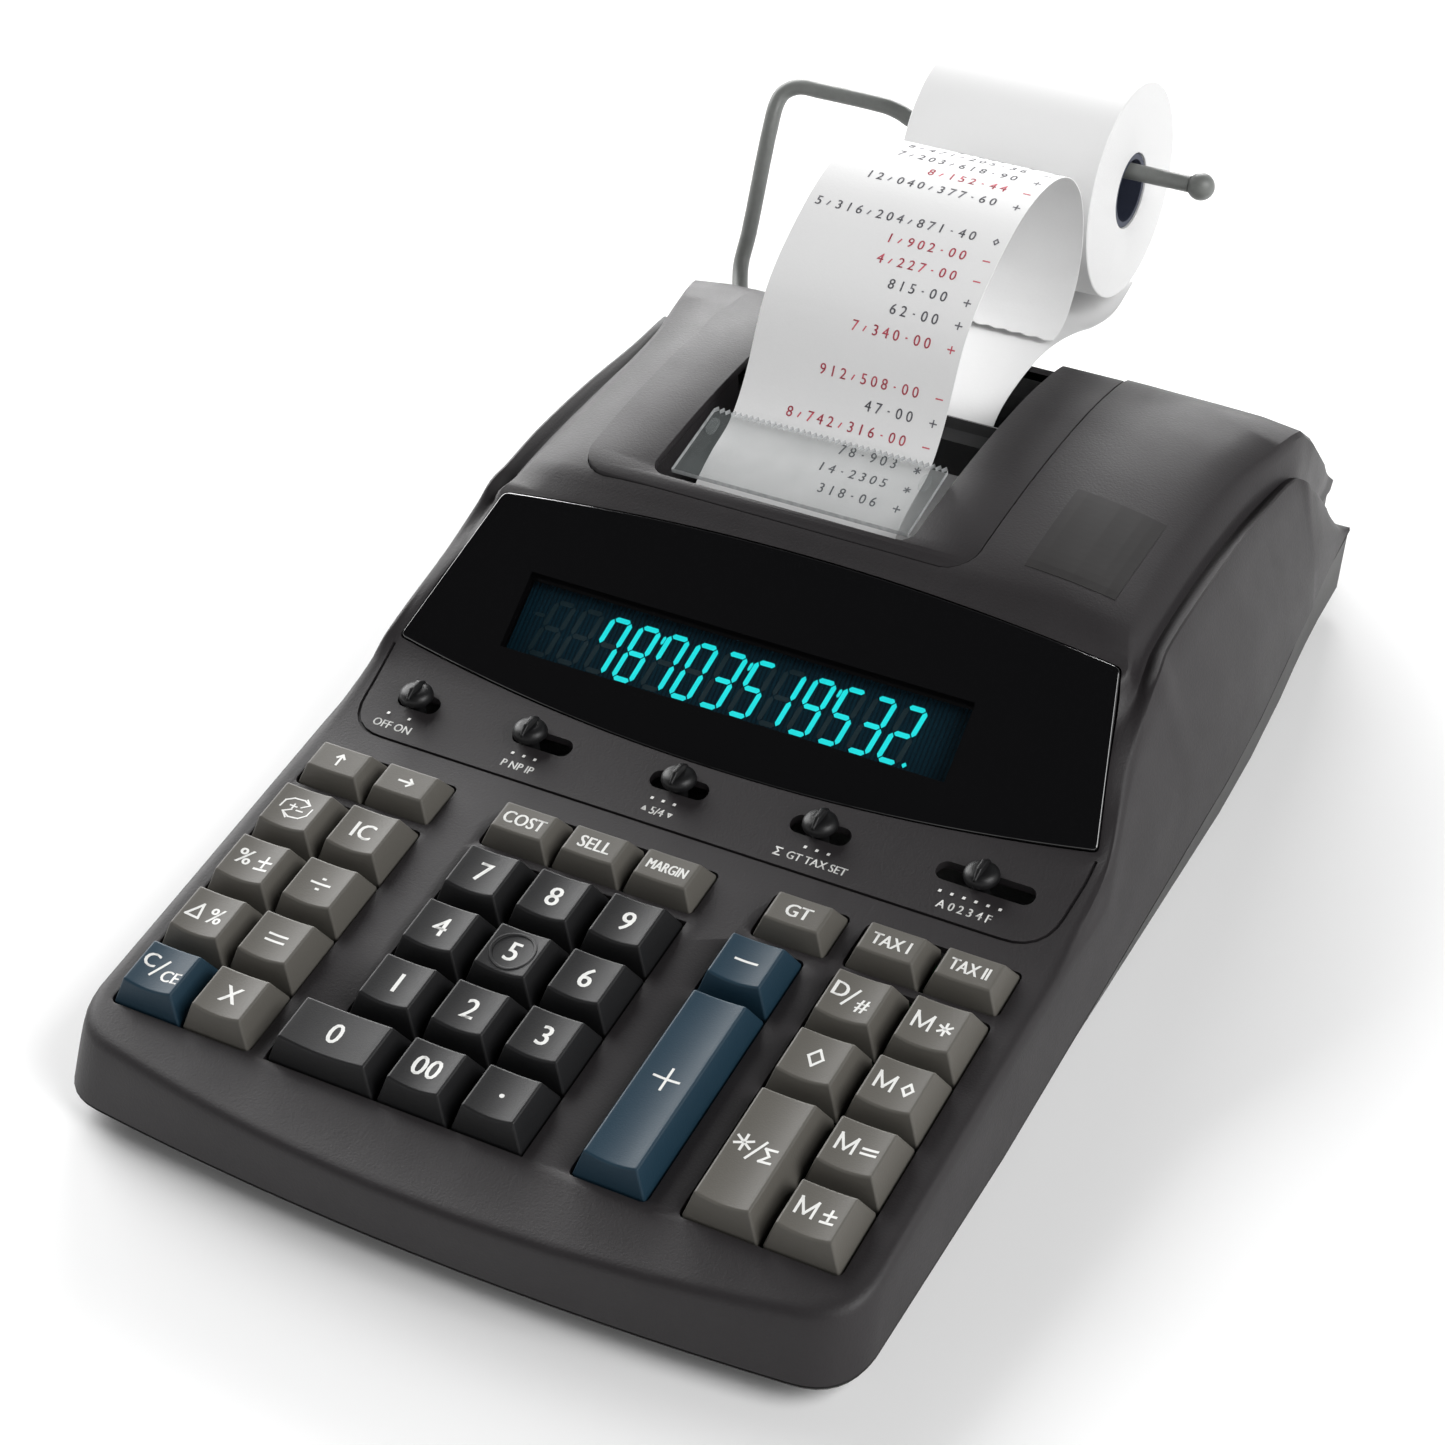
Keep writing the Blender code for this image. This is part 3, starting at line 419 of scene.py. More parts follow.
half_rows = [slab_row(SLOPE_FROM), slab_row(-85.0), slab_row(-66.0), slab_row(-46.0),
             [(x, y, z + (0.0 if i < 4 else 2.6)) for i, (x, y, z) in enumerate(slab_row(-26.0))],
             display_row(-18.0, 33.0, (100.5, 42.5), 97.8),
             display_row(2.0, 36.0, (96.3, 53.0), 91.8)]
half_rows += [
    hump_row(19.0, 38.0, (94.4, 60.8), (90.5, 60.5), (87.5, 65.5), 66.0),
    hump_row(25.5, 39.0, (94.0, 64.0), (89.5, 62.0), (85.0, 67.8), 70.2),
    hump_row(32.0, 39.5, (93.1, 65.2), (88.8, 63.6), (83.0, 70.0), 74.0),
    hump_row(48.0, 41.0, (93.0, 66.4), (88.4, 64.6), (80.5, 71.5), 76.0),
    hump_row(72.0, 42.0, (92.8, 65.9), (88.2, 64.2), (80.5, 71.8), 77.0, width=103.6),
    hump_row(98.0, 42.5, (92.6, 63.6), (88.8, 62.2), (83.0, 71.0), 76.2, width=101.6),
    hump_row(116.0, 43.0, (93.6, 61.6), (91.0, 60.6), (87.0, 69.6), 73.8, width=100.4),
    hump_row(128.0, 46.0, (95.2, 58.6), (92.0, 57.6), (89.5, 68.0), 70.6, width=99.8, back=8),
    hump_row(134.5, 45.0, (95.6, 51.5), (92.4, 50.6), (90.0, 61.8), 65.0, width=99.2, back=8),
    hump_row(151.0, 36.0, (94.8, 38.8), (91.0, 38.2), (88.5, 43.5), 46.5, width=98.4, back=13),
    hump_row(166.0, 26.5, (92.8, 28.0), (87.4, 27.6), (82.0, 29.3), 29.5, width=97.9, back=18.5)]
half_rows.append([(x, y, seam_z(151.5)) for x, y, _ in hump_row(
    170.5, 25.0, (92.8, 25.0), (87.2, 25.0), (79.0, 25.0), 25.0, width=97.7, back=19.0)])
half_rows = [curve_through(row, 3) for row in half_rows]
REAR = len(half_rows) - 5    # from here the hump falls away in flat chamfers
columns = [curve_through(column, 4, REAR) for column in zip(*half_rows)]
half_rows = list(zip(*columns))
PROFILE = 21                # points of a row that turn the corner with the front edge


def front_loop(k):
    """One ring of the slab's front, from the right side round to the left."""
    x, y, z = half_rows[0][k]
    low = seam_z(SLOPE_FROM)
    climb = min(1.0, (z - low) / (panel_z(SLOPE_FROM) - low))
    half = front_curve(x, FRONT_Y + (HALF_WIDTH - x) * 0.9, 5.0 + 5.5 * climb)
    half = list(reversed(half + [(x, -128.0), (x, SLOPE_FROM)]))
    full = half + [(-a, b) for a, b in reversed(half[:-1])]
    return [(a, b, 7.5 + climb * (panel_z(b) - 7.5)) for a, b in full]


bm = bmesh.new()
rows = [[Vector((x, y, z)) for x, y, z in row] + [Vector((-x, y, z)) for x, y, z in reversed(row[:-1])]
        for row in half_rows]
grid = [[bm.verts.new(p) for p in row] for row in rows]
for a, b in zip(grid, grid[1:]):
    for i in range(len(a) - 1):
        bm.faces.new((a[i], a[i + 1], b[i + 1], b[i]))
loops = [[bm.verts.new(p) for p in front_loop(k)] for k in range(PROFILE + 1)]
for a, b in zip(loops, loops[1:]):
    for i in range(len(a) - 1):
        bm.faces.new((a[i], a[i + 1], b[i + 1], b[i]))
bm.faces.new(loops[-1] + list(reversed(grid[0][PROFILE + 1:-PROFILE - 1])))
bmesh.ops.remove_doubles(bm, verts=bm.verts, dist=0.02)
bmesh.ops.recalc_face_normals(bm, faces=bm.faces)
if max(bm.faces, key=lambda f: f.calc_center_median().z).normal.z < 0:
    bmesh.ops.reverse_faces(bm, faces=bm.faces)
bm.normal_update()
outer_faces = list(bm.faces)
twin = {v: bm.verts.new(v.co - Vector((v.normal.x, v.normal.y, 0.0 if v.is_boundary else v.normal.z))
                        * SHELL) for v in list(bm.verts)}
rim_edges = [e for e in bm.edges if e.is_boundary]
for f in outer_faces:
    bm.faces.new([twin[v] for v in reversed(f.verts)])
for e in rim_edges:
    a, b = e.verts
    bm.faces.new((a, b, twin[b], twin[a]))
case_charcoal = moulded("case_plastic", (0.0205, 0.0182, 0.0195), 0.50)
case_top = piece("case_top", bm, [case_charcoal], smooth=None)


def prism(bm, outline, place, low, high):
    skin(bm, [[place(a, b, h) for a, b in outline] for h in (low, high)])


def level(x, y, h):
    return Vector((x, y, h))


def rounded(x0, x1, y0, y1, radius, steps=4):
    points = []
    for cx, cy, start in ((x1 - radius, y0 + radius, -90), (x1 - radius, y1 - radius, 0),
                          (x0 + radius, y1 - radius, 90), (x0 + radius, y0 + radius, 180)):
        for i in range(steps + 1):
            a = math.radians(start + 90 * i / steps)
            points.append((cx + radius * math.cos(a), cy + radius * math.sin(a)))
    return points


def towards(p, q, share):
    return tuple(a + share * (b - a) for a, b in zip(p, q))


def lens_outline(grow, span=26):
    """Bowed long edges, slanting sides and eased corners."""
    low = [(x, -25.0 + 7.5 * (x / 97.0) ** 2 - grow)
           for x in [(-97.0 - grow) + i * (194.0 + 2 * grow) / span for i in range(span + 1)]]
    top = [(x, 24.2 - 4.5 * (x / 86.0) ** 2 + grow)
           for x in [(86.0 + grow) - i * (172.0 + 2 * grow) / span for i in range(span + 1)]]
    shape = low[1:-1] + bend(towards(low[-1], low[-2], 0.2), low[-1], towards(low[-1], top[0], 0.035), 4)
    shape += bend(towards(top[0], low[-1], 0.035), top[0], towards(top[0], top[1], 0.25), 4)
    return shape + top[1:-1] + [(-x, y) for x, y in reversed(shape[span - 1:])]


def cut(obj, *cutters):
    """Take cutters, drawn in millimetres, out of a piece."""
    for i, bm in enumerate(cutters):
        tool = piece("cutter_%d" % i, bm, [], smooth=None)
        mod = obj.modifiers.new("cut", "BOOLEAN")
        mod.operation, mod.solver, mod.object = "DIFFERENCE", "EXACT", tool
        settle(obj)
        bpy.data.objects.remove(tool)
    return obj


LENS_CUT = (-14.0, 6.0)     # each cut's heights reach past both faces of the shell
WELL_CUT = (-11.5, 4.0)
SLOT_CUT = (25.0, 50.0)
HATCH_CUT = (58.5, 90.0)
lens_hole = bmesh.new()
prism(lens_hole, lens_outline(GAP), lens_point, *LENS_CUT)
WELL_R, MARGIN = 1.6, 10.0
KEY_REACH, SMALL_REACH = 9.6, 7.3    # from a row's middle to the edge of its well
LOW_V, HIGH_V = ROWS[4] - KEY_REACH, ROWS[1] + KEY_REACH
SMALL_V = (ROWS[0] - SMALL_REACH, ROWS[0] + SMALL_REACH)
wells = bmesh.new()
for x0, x1, v0, v1 in ((LEFT_X[0], LEFT_X[1], LOW_V, HIGH_V), (LEFT_X[0], LEFT_X[1], *SMALL_V),
                       (DIGIT_X[0], DIGIT_X[2], *SMALL_V), (PLUS_X, PLUS_X, LOW_V, HIGH_V),
                       (GT_X, GT_X, *SMALL_V), (RIGHT_X[0], RIGHT_X[1], *SMALL_V),
                       (RIGHT_X[0], RIGHT_X[1], LOW_V, HIGH_V)):
    prism(wells, rounded(x0 - MARGIN, x1 + MARGIN, v0, v1, WELL_R, 3), key_point, *WELL_CUT)
step_x, digits_x = ZERO_X - ZERO_WIDTH / 2 - 0.8, (DIGIT_X[0] - MARGIN, DIGIT_X[2] + MARGIN)
prism(wells, [(step_x, LOW_V), (digits_x[1], LOW_V), (digits_x[1], HIGH_V), (digits_x[0], HIGH_V),
              (digits_x[0], ROWS[4] + KEY_REACH), (step_x, ROWS[4] + KEY_REACH)], key_point, *WELL_CUT)
SLIDERS = {"power": (-82.6, -88.0, -76.0), "print": (-49.0, -54.0, -37.2),
           "rounding": (-6.6, -14.6, 1.4), "total": (32.1, 24.1, 40.1),
           "decimal": (74.5, 62.8, 88.2)}
SLIDER_Y = -33.0
SLOT_HALF = 2.6
slots = bmesh.new()
for _, x0, x1 in SLIDERS.values():
    prism(slots, rounded(x0, x1, SLIDER_Y - SLOT_HALF, SLIDER_Y + SLOT_HALF, 2.5, 5), level, *SLOT_CUT)
COVER = (-69.5, 41.0, 30.0, 126.0)
hatch = bmesh.new()
prism(hatch, rounded(COVER[0] - GAP, COVER[1] + GAP, COVER[2] - GAP, COVER[3] + 20, 8.0, 5), level,
      *HATCH_CUT)
ARM_FOOT = Vector((-84.0, 143.0, 49.5))
socket = bmesh.new()
skin(socket, [[ARM_FOOT + Vector((-4.5, 8.0, 2.0)) * t + Vector((0, -0.24, 0.97)) * 2.6 * math.sin(a)
               + Vector((0.87, 0.49, 0)) * 2.6 * math.cos(a)
               for a in turn(16)] for t in (-1.5, 1.5)])


def case_z(x, y):
    """Height of the case's surface over a point in plan."""
    start = (Vector((x, y, 200.0)) - Vector((0.0, CENTRE_Y, 0.0))) * MM
    hit, spot, _, _ = case_top.ray_cast(start, Vector((0.0, 0.0, -1.0)))
    return spot.z / MM if hit else panel_z(y)


bpy.context.view_layer.update()
path = ([(97.6, -19.5), (97.4, -25.0), (96.8, -32.0)]
        + bend((96.6, -35.0), (96.0, -46.5), (85.0, -46.2), 6)
        + [(60.0, -46.2), (30.0, -46.2), (0.0, -46.2)])
path = path + [(-x, y) for x, y in reversed(path[:-1])]
groove = bmesh.new()
section = []
for i, (x, y) in enumerate(path):
    (ax, ay), (bx, by) = path[max(i - 1, 0)], path[min(i + 1, len(path) - 1)]
    side = Vector((ay - by, bx - ax)).normalized() * 0.4
    section.append([(x + side.x * s, y + side.y * s, case_z(x, y) + h)
                    for s, h in ((-1, -0.7), (1, -0.7), (1, 1.5), (-1, 1.5))])
skin(groove, section)
cut(case_top, lens_hole, wells, slots, hatch, socket, groove)


def ease(obj, chosen, width, segments=2):
    """Round over the cut edges that `chosen` picks."""
    bm = bmesh.new()
    bm.from_mesh(obj.data)
    bmesh.ops.remove_doubles(bm, verts=bm.verts, dist=2e-6)
    picked = [e for e in bm.edges if len(e.link_faces) == 2
              and e.calc_face_angle() > math.radians(50) and all(chosen(v.co) for v in e.verts)]
    bmesh.ops.bevel(bm, geom=picked, offset=width * MM, segments=segments, affect="EDGES",
                    profile=0.5, clamp_overlap=True)
    bm.to_mesh(obj.data)
    bm.free()


panel_normal = Vector((0.0, -math.sin(TILT), math.cos(TILT)))
panel_spot = (key_point(0.0, 0.0, -PANEL_DEPTH) - Vector((0.0, CENTRE_Y, 0.0))) * MM
ease(case_top, lambda p: abs((p - panel_spot).dot(panel_normal)) < 0.00012
     and abs(p.x) < 0.0985 and p.y < -0.074, 0.55)
case_top.data.shade_smooth()
case_top.data.set_sharp_from_angle(angle=math.radians(32))
fit(case_top, "case", "case_plastic", "top_case")

# -------------------------------------------------------------------- key caps
# Caps moulded in black, warm grey and blue ABS, tapered, with tops hollowed from
# side to side for the finger. The signs are printed on in white ink.
ink_white = speckled("legend_ink", 700.0, (0.66, 0.66, 0.64), (0.82, 0.82, 0.80), 0.00001, Roughness=0.5)
SYMBOLS = {                 # strokes on a grid one unit high, middle at 0, 0
    "up": [[(0, -.5), (0, .5)], [(-.3, .2), (0, .5), (.3, .2)]],
    "right": [[(-.5, 0), (.5, 0)], [(.2, .3), (.5, 0), (.2, -.3)]],
    "minus": [[(-.5, 0), (.5, 0)]],
    "plus": [[(-.5, 0), (.5, 0)], [(0, -.5), (0, .5)]],
    "equals": [[(-.5, .2), (.5, .2)], [(-.5, -.2), (.5, -.2)]],
    "divide": [[(-.5, 0), (.5, 0)], [(-.05, .35), (.05, .35)], [(-.05, -.35), (.05, -.35)]],
    "diamond": [[(0, -.5), (.38, 0), (0, .5), (-.38, 0), (0, -.5)]],
    "star": [[(0, -.5), (0, .5)], [(-.43, -.25), (.43, .25)], [(-.43, .25), (.43, -.25)]],
    "sum": [[(.38, .5), (-.38, .5), (.08, 0), (-.38, -.5), (.38, -.5)]],
    "delta": [[(-.45, -.5), (.15, .5), (.35, -.5), (-.45, -.5)]],
    "plus_minus": [[(-.4, .1), (.4, .1)], [(0, .5), (0, -.3)], [(-.4, -.5), (.4, -.5)]],
    "swap": [[(-.75, -.15), (-.7, .25), (-.4, .5), (.1, .55), (.5, .35)],
             [(.2, .62), (.5, .35), (.18, .12)],
             [(.75, .15), (.7, -.25), (.4, -.5), (-.1, -.55), (-.5, -.35)],
             [(-.2, -.62), (-.5, -.35), (-.18, -.12)],
             [(-.36, .08), (-.04, .08)], [(-.2, .2), (-.2, -.04)], [(.06, -.1), (.36, -.1)]],
    "dot": [[(-.04, -.04), (.04, -.04)]], "comma": [[(.05, .1), (-.12, -.3)]],
    "wedge_up": [[(-.3, -.3), (0, .3), (.3, -.3), (-.3, -.3)]],
    "wedge_down": [[(-.3, .3), (0, -.3), (.3, .3), (-.3, .3)]],
    "slash": [[(-.25, -.55), (.25, .55)]],
    "memory": [[(-.46, -.5), (-.46, .5), (0, -.4), (.46, .5), (.46, -.5)]]}


NARROW = {"MARGIN": 0.66, "COST": 0.82, "SELL": 0.84, "TAX I": 0.78, "TAX II": 0.72}


def lettering(text):
    """Flat letters in the built-in face, one unit high and centred."""
    curve = bpy.data.curves.new("lettering", "FONT")
    curve.body, curve.align_x, curve.resolution_u = text, "CENTER", 3
    obj = bpy.data.objects.new("lettering", curve)
    bpy.context.scene.collection.objects.link(obj)
    graph = bpy.context.evaluated_depsgraph_get()
    mesh = bpy.data.meshes.new_from_object(obj.evaluated_get(graph))
    bpy.data.objects.remove(obj)
    points = [(v.co.x / 0.69 * NARROW.get(text, 0.92), v.co.y / 0.69 - 0.5) for v in mesh.vertices]
    faces = [tuple(p.vertices) for p in mesh.polygons]
    bpy.data.meshes.remove(mesh)
    return points, faces


def drawing(strokes, weight):
    """Flat strokes of one width."""
    points, faces = [], []
    for stroke in strokes:
        for (ax, ay), (bx, by) in zip(stroke, stroke[1:]):
            run = Vector((bx - ax, by - ay)).normalized() * weight / 2
            side = Vector((-run.y, run.x))
            a, b, n = Vector((ax, ay)) - run, Vector((bx, by)) + run, len(points)
            points += [a - side, b - side, b + side, a + side]
            faces.append((n, n + 1, n + 2, n + 3))
    return points, faces


def ink(parts, place, weight=0.62, slices=(), bold=0.11):
    """Ink (sign, size, x, y) parts on a surface, as a thin closed film."""
    bm = bmesh.new()
    for sign, size, dx, dy in parts:
        points, faces = drawing(SYMBOLS[sign], weight / size) if sign in SYMBOLS else lettering(sign)
        for nudge in (0.0,) if sign in SYMBOLS else (-bold, bold):     # letters are struck twice
            verts = [bm.verts.new((dx + p[0] * size + nudge, dy + p[1] * size, 0.0)) for p in points]
            for face in faces:
                bm.faces.new([verts[i] for i in face])
    for x in slices:
        bmesh.ops.bisect_plane(bm, geom=bm.verts[:] + bm.edges[:] + bm.faces[:],
                               plane_co=(x, 0, 0), plane_no=(1, 0, 0))
    bm.normal_update()
    for face in bm.faces:
        if face.normal.z < 0:
            face.normal_flip()
    lid = {v: bm.verts.new(v.co) for v in list(bm.verts)}
    for v, top in lid.items():
        base, raised = place(v.co.x, v.co.y)
        v.co, top.co = base, raised
    edges = [e for e in bm.edges if e.is_boundary]
    for face in list(bm.faces):
        bm.faces.new([lid[v] for v in face.verts])
        face.normal_flip()
    for e in edges:
        a, b = e.verts
        bm.faces.new((a, b, lid[b], lid[a]))
    return bm


def join(target, extra):
    """Merge a second object into the first, keeping both finishes."""
    with bpy.context.temp_override(active_object=target, object=target,
                                   selected_objects=[target, extra],
                                   selected_editable_objects=[target, extra]):
        bpy.ops.object.join()
    return target


KEY_W, KEY_D, SMALL_D = 18.4, 18.0, 13.4
TOP_STEPS = 10
key_plastic = {"key_grey": moulded("key_grey", (0.104, 0.098, 0.086), 0.50, 2300.0, 0.00004, 0.08),
               "key_black": moulded("key_black", (0.0085, 0.0085, 0.0092), 0.5, 2300.0, 0.00003, 0.12),
               "key_blue": moulded("key_blue", (0.0100, 0.034, 0.056), 0.5, 2300.0, 0.00004, 0.10)}


def key_cap(name, x, v, parts, plastic="key_grey", width=KEY_W, depth=KEY_D, low=0.0, dish=0.9,
            taper=(5.0, 5.2), ring=False, weight=0.62):
    half_w, half_d = width / 2, depth / 2
    top_w, top_d, top = half_w - taper[0] / 2, half_d - taper[1] / 2, -low
    skirt = -PANEL_DEPTH - 0.4

    def top_at(dx):
        u = max(-1.0, min(1.0, dx / top_w))
        return top - dish * (1 - u * u)

    def edge(side, i):
        u = -1 + 2 * i / TOP_STEPS
        h = top_at(u * top_w)
        return key_point(x + u * top_w,
                         v + side * (half_d + (top_d - half_d) * (h - skirt) / (top - skirt)), h)

    bm = bmesh.new()
    rings = [[bm.verts.new(key_point(x + a * half_w, v + b * half_d, h))
              for a, b in ((-1, -1), (1, -1), (1, 1), (-1, 1))] for h in (-KEY_FOOT, skirt)]
    front = [bm.verts.new(edge(-1, i)) for i in range(TOP_STEPS + 1)]
    back = [bm.verts.new(edge(1, i)) for i in range(TOP_STEPS + 1)]
    bm.faces.new(list(reversed(rings[0])))
    for i in range(4):
        j = (i + 1) % 4
        bm.faces.new((rings[0][i], rings[0][j], rings[1][j], rings[1][i]))
    bm.faces.new([rings[1][0], rings[1][1]] + list(reversed(front)))
    bm.faces.new([rings[1][2], rings[1][3]] + back)
    bm.faces.new((rings[1][1], rings[1][2], back[-1], front[-1]))
    bm.faces.new((rings[1][3], rings[1][0], front[0], back[0]))
    for i in range(TOP_STEPS):
        bm.faces.new((front[i], front[i + 1], back[i + 1], back[i]))
    cap = piece("cap_" + name, bm, [key_plastic[plastic]], bevel=0.55, segments=3)
    if ring:                # the middle key is marked for the finger by a raised ring
        bm = bmesh.new()
        skin(bm, [[key_point(x + (5.3 + 0.45 * math.cos(t)) * math.cos(a),
                             v + (5.3 + 0.45 * math.cos(t)) * math.sin(a),
                             top_at((5.3 + 0.45 * math.cos(t)) * math.cos(a)) + 0.3 * math.sin(t))
                   for t in turn(8)]
                  for a in turn(48) + [math.tau]], caps=False)
        join(cap, piece("ring", bm, [key_plastic[plastic]]))
    film = ink(parts, lambda a, b: (key_point(x + a, v + b, top_at(a) - 0.02),
                                    key_point(x + a, v + b, top_at(a) + 0.035)),
               weight, [i * 1.1 for i in range(-6, 7)])
    join(cap, piece("sign", film, [ink_white], smooth=30, weld=False))
    fit(cap, "key_" + name, plastic, "key_" + name)


small = {"depth": SMALL_D, "low": 1.6, "dish": 0.2, "taper": (4.4, 5.0)}
for name, x, parts in (("paper_feed", LEFT_X[0], [("up", 3.4, 0, 0)]),
                       ("backspace", LEFT_X[1], [("right", 3.8, 0, 0)]),
                       ("cost", DIGIT_X[0], [("COST", 3.7, 0, 0)]),
                       ("sell", DIGIT_X[1], [("SELL", 3.7, 0, 0)]),
                       ("margin", DIGIT_X[2], [("MARGIN", 2.95, 0, 0)]),
                       ("grand_total", GT_X, [("GT", 3.7, 0, 0)]),
                       ("tax_one", RIGHT_X[0], [("TAX I", 3.5, 0, 0)]),
                       ("tax_two", RIGHT_X[1], [("TAX II", 3.5, 0, 0)])):
    key_cap(name, x, ROWS[0], parts, **small)
for i, (name, parts) in enumerate((
        ("change_sign", [("swap", 5.6, 0, 0)]),
        ("percent_change", [("%", 4.6, -2.5, .4), ("plus_minus", 4.2, 3.3, 0)]),
        ("delta_percent", [("delta", 4.2, -3.2, 0), ("%", 4.6, 2.2, 0)]),
        ("clear", [("C", 4.0, -4.0, 1.4), ("slash", 4.6, -.8, 0), ("CE", 3.3, 3.3, -1.5)]))):
    key_cap(name, LEFT_X[0], ROWS[i + 1], parts, "key_blue" if name == "clear" else "key_grey",
            weight=0.42 if name == "change_sign" else 0.62)
for i, (name, parts) in enumerate((("item_count", [("IC", 4.9, 0, 0)]),
                                   ("divide", [("divide", 4.9, 0, 0)]),
                                   ("equals", [("equals", 4.8, 0, 0)]),
                                   ("multiply", [("X", 4.9, 0, 0)]))):
    key_cap(name, LEFT_X[1], ROWS[i + 1], parts)
for i, figures in enumerate(("789", "456", "123")):
    for x, figure in zip(DIGIT_X, figures):
        key_cap(figure, x, ROWS[i + 1], [(figure, 5.7, 0, 0)], "key_black", ring=figure == "5")
key_cap("0", ZERO_X, ROWS[4], [("0", 5.7, 0, 0)], "key_black", width=ZERO_WIDTH)
key_cap("00", DIGIT_X[1], ROWS[4], [("00", 5.5, 0, 0)], "key_black")
key_cap("point", DIGIT_X[2], ROWS[4], [(".", 6.4, 0, 2.6)], "key_black")
key_cap("minus", PLUS_X, ROWS[1], [("minus", 5.4, 0, 0)], "key_blue")
key_cap("plus", PLUS_X, ROWS[3], [("plus", 6.2, 0, 0)], "key_blue", depth=KEY_D + 2 * ROW)
key_cap("item_number", RIGHT_X[0], ROWS[1],
        [("D", 4.2, -3.8, 1.2), ("slash", 4.6, -.8, 0), ("#", 3.8, 2.8, -1.2)])
key_cap("subtotal", RIGHT_X[0], ROWS[2], [("diamond", 4.8, 0, 0)])
key_cap("total", RIGHT_X[0], (ROWS[3] + ROWS[4]) / 2,
        [("star", 4.2, -3.4, .8), ("slash", 5.0, 0, 0), ("sum", 3.6, 3.2, -.6)], depth=KEY_D + ROW)
for i, (name, sign) in enumerate((("memory_total", "star"), ("memory_subtotal", "diamond"),
                                  ("memory_equals", "equals"), ("memory_plus", "plus_minus"))):
    key_cap(name, RIGHT_X[1], ROWS[i + 1], [("memory", 4.2, -2.6, .2), (sign, 3.4, 3.0, -.2)])

# --------------------------------------------------------------- slide switches
# Five round knobs, turned-looking mouldings with a raised pointer, on stems that
# run in slots. Dots and small signs in front of each slot show its settings.
knob_black = moulded("knob_plastic", (0.006, 0.006, 0.0065), 0.42, 2600.0, 0.00002, 0.1)
KNOB_BASE = 37.9
PROFILE_OF_KNOB = ((2.0, 27.5), (2.0, KNOB_BASE), (4.3, KNOB_BASE), (4.45, 38.6), (4.2, 39.6),
                   (3.4, 40.4), (2.2, 40.75))
for name, (x, _, _) in SLIDERS.items():
    bm = bmesh.new()
    skin(bm, [[(x + r * math.cos(a), SLIDER_Y + r * math.sin(a), z)
               for a in turn(32)] for r, z in PROFILE_OF_KNOB])
    knob = piece("knob_" + name, bm, [knob_black], smooth=45)
    bm = bmesh.new()        # pointer: a ridge across the knob, tapering to the front
    skin(bm, [[(x - w, y, 39.0), (x + w, y, 39.0), (x + 0.45 * w, y, top), (x - 0.45 * w, y, top)]
              for w, y, top in ((0.7, SLIDER_Y - 4.1, 40.4), (1.3, SLIDER_Y - 1.5, 42.1),
                                (1.5, SLIDER_Y + 1.6, 42.1), (1.1, SLIDER_Y + 3.9, 40.6))])
    join(knob, piece("pointer", bm, [knob_black], bevel=0.3))
    fit(knob, "slider_" + name, "knob_black", "slider_" + name)


ticks = Pattern("slot_dots", Length=1.45 * MM, Width=0.75 * MM, Height=0.05 * MM, Finish=ink_white)
tick_size = ticks.add("ShaderNodeCombineXYZ", {}, {0: ticks.input("Width"), 1: ticks.input("Length"),
                                                   2: ticks.input("Height")})
tick = ticks.add("GeometryNodeMeshCube", {}, {"Size": tick_size})
ticks.finish(ticks.add("GeometryNodeInstanceOnPoints", {},
                       {"Points": ticks.input("Geometry"), "Instance": tick}), ticks.input("Finish"))
DOT_Y, SIGN_Y = -38.4, -42.0
SETTINGS = {"power": ((-3.1, 3.1), [("OFF ON", 2.3, 0, 0)], -84.6),
            "print": ((-3.2, 0, 3.2), [("P NP IP", 2.2, 0, 0)], -47.7),
            "rounding": ((-3.1, 0, 3.1), [("wedge_up", 1.6, -3.5, 0), ("5/4", 2.2, 0, 0),
                                              ("wedge_down", 1.6, 3.5, 0)], -8.0),
            "total": ((-3.1, 0, 3.1), [("sum", 2.1, -8.8, 0), ("GT TAX SET", 2.2, 1.6, 0)], 34.0),
            "decimal": ((-7.8, -4.7, -1.6, 1.5, 4.6, 7.7), [("A 0 2 3 4 F", 2.3, 0, 0)], 74.2)}
dots, film = [], None
for name, (steps, parts, x) in SETTINGS.items():
    dots += [(x + dx, DOT_Y, case_z(x + dx, DOT_Y) + 0.01) for dx in steps]
    strip = ink(parts, lambda a, b: (level(x + a, SIGN_Y + b, case_z(x + a, SIGN_Y + b) - 0.02),
                                     level(x + a, SIGN_Y + b, case_z(x + a, SIGN_Y + b) + 0.03)),
                0.36, bold=0.05)
    part = piece("switch_signs", strip, [ink_white], smooth=30, weld=False)
    film = part if film is None else join(film, part)
film.name = "switch_signs"
fit(film, "case", "case_plastic")
fit(ticks.run("switch_dots", dots), "case", "case_plastic")

# ------------------------------------------------------------------ label film
# A thin dark film stuck on the deck right of the printer, left blank here.
film_gloss = speckled("label_film", 120.0, (0.011, 0.010, 0.010), (0.015, 0.0135, 0.0135), 0.00001,
                      (0.12, 0.42), Specular_IOR_Level=0.3)
bm = bmesh.new()
LABEL_X, LABEL_Y, LABEL_W, LABEL_H = 53.0, 37.0, 24.0, 32.0
xs = [LABEL_X + LABEL_W * i / 8 for i in range(9)]
ys = [LABEL_Y + LABEL_H * i / 12 for i in range(13)]
for y0, y1 in zip(ys, ys[1:]):
    for x0, x1 in zip(xs, xs[1:]):
        skin(bm, [[(x, y, case_z(x, y) + h) for x, y in ((x0, y0), (x1, y0), (x1, y1), (x0, y1))]
                  for h in (-0.02, 0.08)])
fit(piece("label_film", bm, [film_gloss], smooth=20), "case", "case_plastic")

